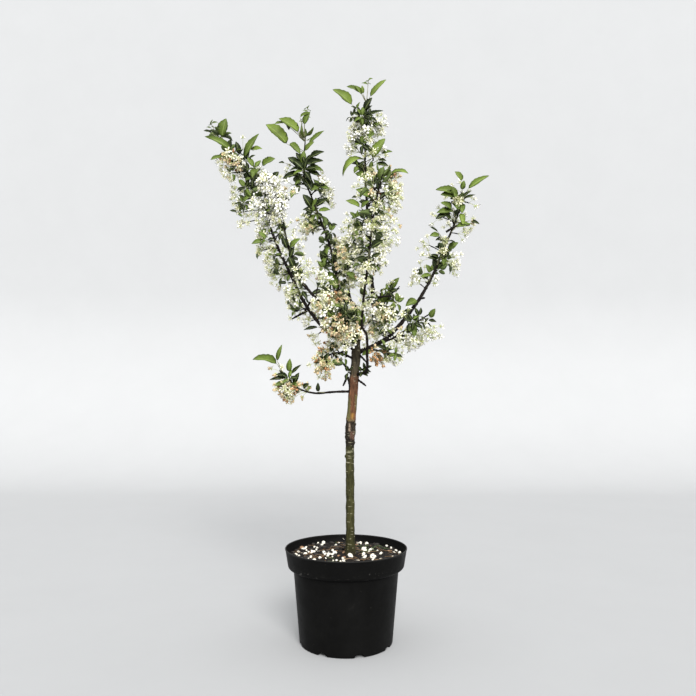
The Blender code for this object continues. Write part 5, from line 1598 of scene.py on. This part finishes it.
def pot_shape(settings):
    """The pot as a surface of turn and profile, lifted into arched notches round its foot.

    At a notch the low part of the profile is raised to h = notch height times the root of
    1 - (distance from the notch's middle / half its width)^2, where the radius is large enough.
    """
    profile = pot_profile(settings)
    turn = round_turns(256)
    radius, height = profile[:, 0:1] + 0 * turn, profile[:, 1:2] + 0 * turn
    count = max(1, settings.notches)
    gap = ((turn / TAU * count - NOTCH_START + 0.5) % 1 - 0.5) * TAU / count * settings.foot_radius
    arch = NOTCH_HEIGHT * np.sqrt(np.clip(1 - (gap / NOTCH_HALF) ** 2, 0, 1))
    outer = np.arange(len(profile)) < len(profile) - 7
    low = (profile[:, 0] > settings.foot_radius - 0.0168) & (profile[:, 1] < 0.0095) & outer
    height = np.where(low[:, None] & (height < arch), arch, height)
    dent = 0.0010 * bell(turn, 4.05, 0.05) * bell(profile[:, 1:2], 0.176, 0.006)
    warp = 0.0005 * np.sin(2 * turn + 0.6) * (profile[:, 1:2] / 0.21)
    radius = radius + warp - dent
    rings = np.stack([radius * np.cos(turn), radius * np.sin(turn), height], -1)
    start, end = np.array([[0, 0, profile[0, 1]]]), np.array([[0, 0, profile[-1, 1]]])
    return closed_tubes(rings[None], start, end)


def mix_height(x, y, level):
    """The mix's surface: lumps of several sizes, a slight mound at the stem and a sunk edge."""
    flat = np.stack([x, y, 0 * x], -1)
    radius = np.hypot(x, y)
    lumps = 0.0016 * waves(flat, 0.030, 201) + 0.0011 * waves(flat, 0.011, 202)
    crumbs = 0.0008 * np.abs(waves(flat, 0.0048, 203)) + 0.0005 * waves(flat, 0.0025, 204)
    mound = 0.0030 * bell(np.hypot(x - STEM_FOOT[0], y - STEM_FOOT[1]), 0, 0.030)
    edge = -0.0040 * bell(radius, 0.131, 0.010)
    return level - 0.0016 + lumps + crumbs + mound + edge


def mix_shape(settings):
    """The body of mix: a lumpy top over turn and radius, closed by a wall and floor inside."""
    turn = round_turns(240)
    wall = np.array(((0.090, MIX_FLOOR), (0.102, MIX_FLOOR), (0.1030, 0.020), (0.1165, 0.160),
                     (0.1300, 0.176)))
    radius = np.concatenate([wall[:, 0], np.linspace(0.1325, 0.0016, 76)])[:, None]
    x, y = radius * np.cos(turn), radius * np.sin(turn)
    height = mix_height(x, y, settings.level)
    height[:len(wall)] = wall[:, 1:]
    rings = np.stack([x, y, height], -1)
    middle = float(mix_height(0.0, 0.0, settings.level))
    return closed_tubes(rings[None], np.array([[0, 0, MIX_FLOOR]]), np.array([[0, 0, middle]]))


def on_mix(places, level, above=0.0):
    """Points over places on the mix, as far above it as given."""
    return np.column_stack([places, mix_height(places[:, 0], places[:, 1], level) + above])


def scattered(count, seed, reach=LITTER_REACH, dense=()):
    """Seeded places on the mix, some of them gathered in dense patches, clear of the stem."""
    rng = np.random.default_rng(seed)
    radius, turn = reach * np.sqrt(rng.random(count * 2)), rng.uniform(0, TAU, count * 2)
    places = np.stack([radius * np.cos(turn), radius * np.sin(turn)], -1)
    for x, y, spread, share in dense:
        some = rng.random(len(places)) < share
        places[some] = np.array((x, y)) + rng.normal(0, spread, (some.sum(), 2))
    clear = np.hypot(places[:, 0] - STEM_FOOT[0], places[:, 1] - STEM_FOOT[1]) > 0.016
    inside = np.hypot(places[:, 0], places[:, 1]) < reach
    return places[clear & inside][:count], rng


def lump_shapes(places, level, sizes, flatten, seed):
    """Small rounded stones: spheres of rings and sides, squeezed, tilted and dented at random.

    A quarter of each is sunk into the mix.
    """
    rng = np.random.default_rng(seed)
    rows, sides = 4, 7
    lat = np.linspace(-1, 1, rows + 2)[1:-1] * math.pi / 2 * 0.86
    lon = round_turns(sides)
    ball = np.stack([np.cos(lat)[:, None] * np.cos(lon), np.cos(lat)[:, None] * np.sin(lon),
                     np.sin(lat)[:, None] + 0 * lon], -1)
    poles = np.array(((0, 0, -1.0), (0, 0, 1.0)))
    count = len(places)
    stretch = np.stack([rng.uniform(0.8, 1.25, count), rng.uniform(0.75, 1.1, count),
                        rng.uniform(*flatten, count)], -1) * sizes[:, None] / 2
    spin = rng.uniform(0, TAU, count)
    turn = np.zeros((count, 3, 3))
    turn[:, 0, 0], turn[:, 0, 1] = np.cos(spin), -np.sin(spin)
    turn[:, 1, 0], turn[:, 1, 1], turn[:, 2, 2] = np.sin(spin), np.cos(spin), 1
    tilt = rng.normal(0, 0.25, (count, 2))
    turn[:, 2, 0], turn[:, 2, 1] = tilt[:, 0], tilt[:, 1]
    foot = on_mix(places, level)
    foot[:, 2] += stretch[:, 2] / 2
    dents = 1 + rng.normal(0, 0.11, (count, rows, sides, 1))
    rings = np.einsum("nij,nrsj->nrsi", turn, ball[None] * dents * stretch[:, None, None])
    ends = np.einsum("nij,npj->npi", turn, poles[None] * stretch[:, None])
    return closed_tubes(rings + foot[:, None, None], ends[:, 0] + foot, ends[:, 1] + foot)


def fibre_shapes(places, level, seed, lengths, radius):
    """Straws and threads that lie on the mix: thin tubes along arcs close above its surface."""
    rng = np.random.default_rng(seed)
    count = len(places)
    t = np.linspace(-0.5, 0.5, 9)
    heading, bend = rng.uniform(0, TAU, (count, 1)), rng.normal(0, 1.1, (count, 1))
    size = rng.uniform(*lengths, (count, 1))
    way = heading + bend * t
    step = size / 8
    x = places[:, :1] + np.cumsum(np.cos(way) * step, axis=1) - size / 2 * np.cos(heading)
    y = places[:, 1:] + np.cumsum(np.sin(way) * step, axis=1) - size / 2 * np.sin(heading)
    away = np.hypot(x, y)
    x, y = x * np.minimum(1, LITTER_REACH / away), y * np.minimum(1, LITTER_REACH / away)
    rise = mix_height(x, y, level) + 0.0010 + 0.0022 * rng.random((count, 1)) * (1 - (2 * t) ** 2)
    smooth = np.stack([x, y, rise], -1)
    smooth[:, 1:-1, 2] = (smooth[:, :-2, 2] + smooth[:, 1:-1, 2] + smooth[:, 2:, 2]) / 3 + 0.0006
    reference = np.broadcast_to(UP, (count, 3))
    return tubes(smooth, radius * (1.05 - np.abs(t) * 0.9)[None], 4, reference)


def fallen_shapes(places, rng, level):
    """Petals that lie on the mix: petal blades along the surface, close above it."""
    count = len(places)
    root = on_mix(places, level, 0.0028)
    heading = rng.uniform(0, TAU, count)
    way = unit(np.stack([np.cos(heading), np.sin(heading), rng.normal(0, 0.15, count)], -1))
    normal = np.cross(np.cross(way, UP), way)
    length = rng.uniform(0.007, 0.010, count)
    arch, fold = rng.uniform(-0.8, 0.8, count), rng.uniform(0.1, 0.4, count)
    return blade_shapes(root, way, unit(normal), length, length * 0.62, arch, fold, PETAL_CURVE,
                        0.0, 3, PETAL_SIDES)


class PieceOperator:
    """What every operator of this add-on shares."""

    bl_options = {"REGISTER", "UNDO"}


class MESH_OT_apple_pot(PieceOperator, bpy.types.Operator):
    """Adds the moulded black pot"""

    bl_idname = "mesh.apple_pot"
    bl_label = "Pot"

    def execute(self, context):
        settings = context.scene.pot_settings
        finish = plastic_material(tuple(settings.colour))
        pot = make_piece("pot_body", pot_shape(settings), [finish], ("pot",))
        pot.data.set_sharp_from_angle(angle=math.radians(50))
        return {"FINISHED"}


class MESH_OT_apple_mix(PieceOperator, bpy.types.Operator):
    """Adds the potting mix with its perlite, bark chips, fibres and fallen petals"""

    bl_idname = "mesh.apple_mix"
    bl_label = "Potting mix"

    def execute(self, context):
        settings = context.scene.mix_settings
        level = settings.level
        earth = speckled_material("damp_mix", tuple(settings.colour), 0.75, 130.0, 0.9,
                                  (650.0, 0.8, 0.0012), 0.25)
        make_piece("mix_surface", mix_shape(settings), [earth], ("potting_mix",))

        places, rng = scattered(settings.perlite, 301, dense=PERLITE_PATCHES)
        sizes = rng.uniform(0.0040, 0.0105, len(places))
        perlite = lump_shapes(places, level, sizes, (0.6, 0.95), 302)
        places, rng = scattered(settings.chips, 311, dense=CHIP_PATCHES)
        sizes = rng.uniform(0.005, 0.015, len(places))
        dark = len(places) * 5 // 6
        dark_chips = lump_shapes(places[:dark], level, sizes[:dark], (0.18, 0.4), 312)
        tan_chips = lump_shapes(places[dark:], level, sizes[dark:] * 0.8, (0.18, 0.4), 313)
        places, _ = scattered(settings.fibres, 321, 0.115)
        straws = fibre_shapes(places, level, 322, (0.014, 0.050), 0.00055)
        places, _ = scattered(THREADS, 331, 0.110, THREAD_PATCHES)
        threads = fibre_shapes(places, level, 332, (0.008, 0.026), 0.0007)
        petals = fallen_shapes(*scattered(FALLEN_PETALS, 341, 0.118), level)

        # Each kind of litter: piece, shape, then the material's name, colour, spread and so on
        for name, shape, *look in (
                ("perlite", perlite, "perlite", (0.720, 0.690, 0.605), 0.22, 240.0, 0.85,
                 (900.0, 0.5, 0.0006), 0.2),
                ("bark_chips_dark", dark_chips, "bark_chips_dark", (0.013, 0.009, 0.006), 0.6, 160.0,
                 0.8, (500.0, 0.6, 0.001)),
                ("bark_chips_tan", tan_chips, "bark_chips_tan", (0.250, 0.140, 0.070), 0.6, 160.0,
                 0.75, (500.0, 0.6, 0.001)),
                ("straw_fibres", straws, "straw", (0.190, 0.115, 0.055), 0.4, 90.0, 0.7),
                ("green_threads", threads, "green_threads", (0.050, 0.080, 0.022), 0.4, 90.0, 0.8),
                ("fallen_petals", petals, "fallen_petals", (0.820, 0.770, 0.640), 0.12, 240.0, 0.7)):
            smooth = "chips" not in name
            make_piece(name, shape, [speckled_material(*look)], smooth=smooth)
        return {"FINISHED"}


class MESH_OT_apple_stem(PieceOperator, bpy.types.Operator):
    """Adds the stem with its bark relief and graft"""

    bl_idname = "mesh.apple_stem"
    bl_label = "Stem"

    def execute(self, context):
        settings = context.scene.stem_settings
        bark = stem_material(settings)
        make_piece("stem_bark", trunk_shape(settings), [bark], ("trunk",))
        return {"FINISHED"}


class MESH_OT_apple_boughs(PieceOperator, bpy.types.Operator):
    """Adds the boughs, the spurs and the young shoots"""

    bl_idname = "mesh.apple_boughs"
    bl_label = "Boughs and spurs"

    def execute(self, context):
        bark = bough_material(context.scene.stem_settings)
        shapes = joined([bough_shape(bough, number) for number, bough in enumerate(BOUGHS)])
        make_piece("bough_bark", shapes, [bark], [bough.name for bough in BOUGHS])
        twigs = growth().twigs
        woody = [twig for twig in twigs if twig.woody]
        shoots = [twig for twig in twigs if not twig.woody]
        make_piece("spurs", twig_shapes(woody), [bark])
        green = speckled_material("young_shoots", (0.150, 0.150, 0.070), 0.3, 120.0, 0.6)
        make_piece("young_shoots", twig_shapes(shoots), [green])
        return {"FINISHED"}


class MESH_OT_apple_leaves(PieceOperator, bpy.types.Operator):
    """Adds the leaves in three colours"""

    bl_idname = "mesh.apple_leaves"
    bl_label = "Leaves"

    def execute(self, context):
        settings = context.scene.foliage_settings
        leaves = growth().leaves
        masses = [name for bough in BOUGHS for name, *_ in bough.masses]
        # The dark leaves' finish carries painted shade: their green is darkened to stand for shade
        # among the leaves.
        finishes = (("shade_dark_leaves", settings.dark, 0.42), ("full_leaves", settings.full, 0.45),
                    ("young_leaves", settings.young, 0.50))
        for tint, (name, colour, roughness) in enumerate(finishes):
            colour = tuple(colour)
            rib = mixed(colour, (0.26, 0.32, 0.10), 0.55)
            below = mixed(colour, (0.14, 0.18, 0.085), 0.40)
            finish = [leaf_material(name, colour, roughness),
                      leaf_material(name + "_rib", rib, 0.6),
                      leaf_material(name + "_below", below, 0.7)]
            shape, kinds = leaf_shapes([leaf for leaf in leaves if leaf.tint == tint])
            nodes = masses if tint == FULL else ()
            make_piece(name, shape, finish, nodes, groups=kinds)
        return {"FINISHED"}


class MESH_OT_apple_blossom(PieceOperator, bpy.types.Operator):
    """Adds the flowers, fresh, ageing and withered"""

    bl_idname = "mesh.apple_blossom"
    bl_label = "Blossom"

    def execute(self, context):
        settings = context.scene.blossom_settings
        flowers = growth().flowers
        kinds = (
            ("fresh_petals", settings.white, (0.90, 0.90, 0.89), 1.30, 0.20, -0.5, 0.60, 1.0),
            ("ageing_petals", settings.cream, (0.93, 0.93, 0.80), 1.20, 0.35, 0.7, 0.42, 0.95),
            ("peach_petals", settings.peach, (0.84, 0.72, 0.50), 1.05, 0.50, -1.0, 0.50, 0.95),
            ("withered_petals", settings.orange, (0.64, 0.42, 0.22), 0.95, 0.60, -1.3, 0.48, 1.0),
        )
        for tint, (name, colour, edge, opened, spread, curl, narrow, size) in enumerate(kinds):
            some = columns([flower for flower in flowers if flower.tint == tint])
            shape = petal_shapes(some, opened, spread, curl, narrow, size)
            make_piece(name, shape, [petal_material(name, tuple(colour), edge)])
        green = speckled_material("flower_stalks", (0.480, 0.535, 0.205), 0.25, 60.0, 0.6)
        brown = speckled_material("old_flower_stalks", (0.190, 0.170, 0.070), 0.35, 60.0, 0.7)
        shape, ages = flower_greens(flowers)
        make_piece("flower_stalks", shape, [green, brown], groups=ages)
        pale = speckled_material("stamens", (0.850, 0.830, 0.520), 0.12, 80.0, 0.6)
        dull = speckled_material("old_stamens", (0.300, 0.210, 0.090), 0.3, 80.0, 0.7)
        for finish, tints in ((pale, (FRESH, AGEING, PEACH, BARE)), (dull, (WITHERED,))):
            some = [flower for flower in flowers if flower.tint in tints]
            make_piece(finish.name, flower_stamens(some), [finish])
        return {"FINISHED"}


class SCENE_OT_apple_stage(PieceOperator, bpy.types.Operator):
    """Adds the pale sweep, the soft lights and the camera"""

    bl_idname = "scene.apple_stage"
    bl_label = "Stage"

    def execute(self, context):
        settings = context.scene.stage_settings
        add_sweep()
        add_lights(settings)
        data = bpy.data.cameras.new("view")
        data.sensor_width = SENSOR_WIDTH
        data.lens = settings.lens
        camera = bpy.data.objects.new("view", data)
        camera.location = (settings.side, -settings.distance, settings.height)
        camera.rotation_euler = (math.pi / 2 + settings.tilt, 0, 0)
        context.scene.collection.objects.link(camera)
        context.scene.camera = camera
        context.scene.view_settings.view_transform = "Standard"
        return {"FINISHED"}


def add_sweep():
    """The floor that curves up into a wall: one sheet over x and the sweep's path."""
    bend = np.linspace(0, math.pi / 2, 16)
    floor = np.stack([np.linspace(-4.0, 2.2, 12), np.zeros(12)], -1)
    curve = np.stack([2.2 + 1.4 * np.sin(bend[1:]), 1.4 - 1.4 * np.cos(bend[1:])], -1)
    wall = np.stack([np.full(6, 3.6), np.linspace(1.8, 5.0, 6)], -1)
    path = np.vstack([floor, curve, wall])
    x = np.linspace(-5.0, 5.0, 21)
    grid = np.stack(np.broadcast_arrays(x[None], path[:, :1], path[:, 1:]), -1).reshape(-1, 3)
    index = np.arange(len(grid)).reshape(len(path), len(x))
    faces = np.stack([index[:-1, :-1], index[:-1, 1:], index[1:, 1:], index[1:, :-1]], -1)
    mesh = bpy.data.meshes.new("sweep")
    mesh.from_pydata(grid.tolist(), [], faces.reshape(-1, 4).tolist())
    mesh.shade_smooth()
    mesh.materials.append(speckled_material("pale_floor", (0.364, 0.370, 0.377), 0.015, 3.0, 0.85,
                                            specular=0.15))
    sweep = bpy.data.objects.new("sweep", mesh)
    bpy.context.scene.collection.objects.link(sweep)


def add_lights(settings):
    """A pale sky all round and a soft sun from the upper right behind the camera."""
    world = bpy.data.worlds.new("studio")
    world.use_nodes = True
    sky = world.node_tree.nodes["Background"]
    sky.inputs["Color"].default_value = (0.99, 0.995, 1.0, 1.0)
    sky.inputs["Strength"].default_value = settings.fill
    bpy.context.scene.world = world
    data = bpy.data.lights.new("key", "SUN")
    data.angle = math.radians(28)
    data.energy = settings.key
    data.color = (1.0, 0.985, 0.96)
    lamp = bpy.data.objects.new("key", data)
    lamp.rotation_euler = (math.radians(57), 0, math.radians(11))
    lamp.location = (1.6, -2.6, 2.8)
    bpy.context.scene.collection.objects.link(lamp)


class VIEW3D_PT_apple_tree(bpy.types.Panel):
    """Lists the pieces and their settings"""

    bl_label = "Fruit tree"
    bl_idname = "VIEW3D_PT_apple_tree"
    bl_space_type = "VIEW_3D"
    bl_region_type = "UI"
    bl_category = "Fruit tree"

    def draw(self, context):
        for operator in OPERATORS:
            self.layout.operator(operator.bl_idname)
        for name, group in GROUPS.items():
            box = self.layout.box()
            for key in group.__annotations__:
                box.prop(getattr(context.scene, name), key)


OPERATORS = (
    SCENE_OT_apple_stage,
    MESH_OT_apple_pot,
    MESH_OT_apple_mix,
    MESH_OT_apple_stem,
    MESH_OT_apple_boughs,
    MESH_OT_apple_leaves,
    MESH_OT_apple_blossom,
)
CLASSES = (*GROUPS.values(), *OPERATORS, VIEW3D_PT_apple_tree)


def register():
    for cls in CLASSES:
        bpy.utils.register_class(cls)
    for name, group in GROUPS.items():
        setattr(bpy.types.Scene, name, bpy.props.PointerProperty(type=group))


def unregister():
    for name in GROUPS:
        delattr(bpy.types.Scene, name)
    for cls in reversed(CLASSES):
        bpy.utils.unregister_class(cls)


def main():
    register()
    bpy.ops.scene.apple_stage()
    bpy.ops.mesh.apple_pot()
    bpy.ops.mesh.apple_mix()
    bpy.ops.mesh.apple_stem()
    bpy.ops.mesh.apple_boughs()
    bpy.ops.mesh.apple_leaves()
    bpy.ops.mesh.apple_blossom()


if __name__ == "__main__":
    main()
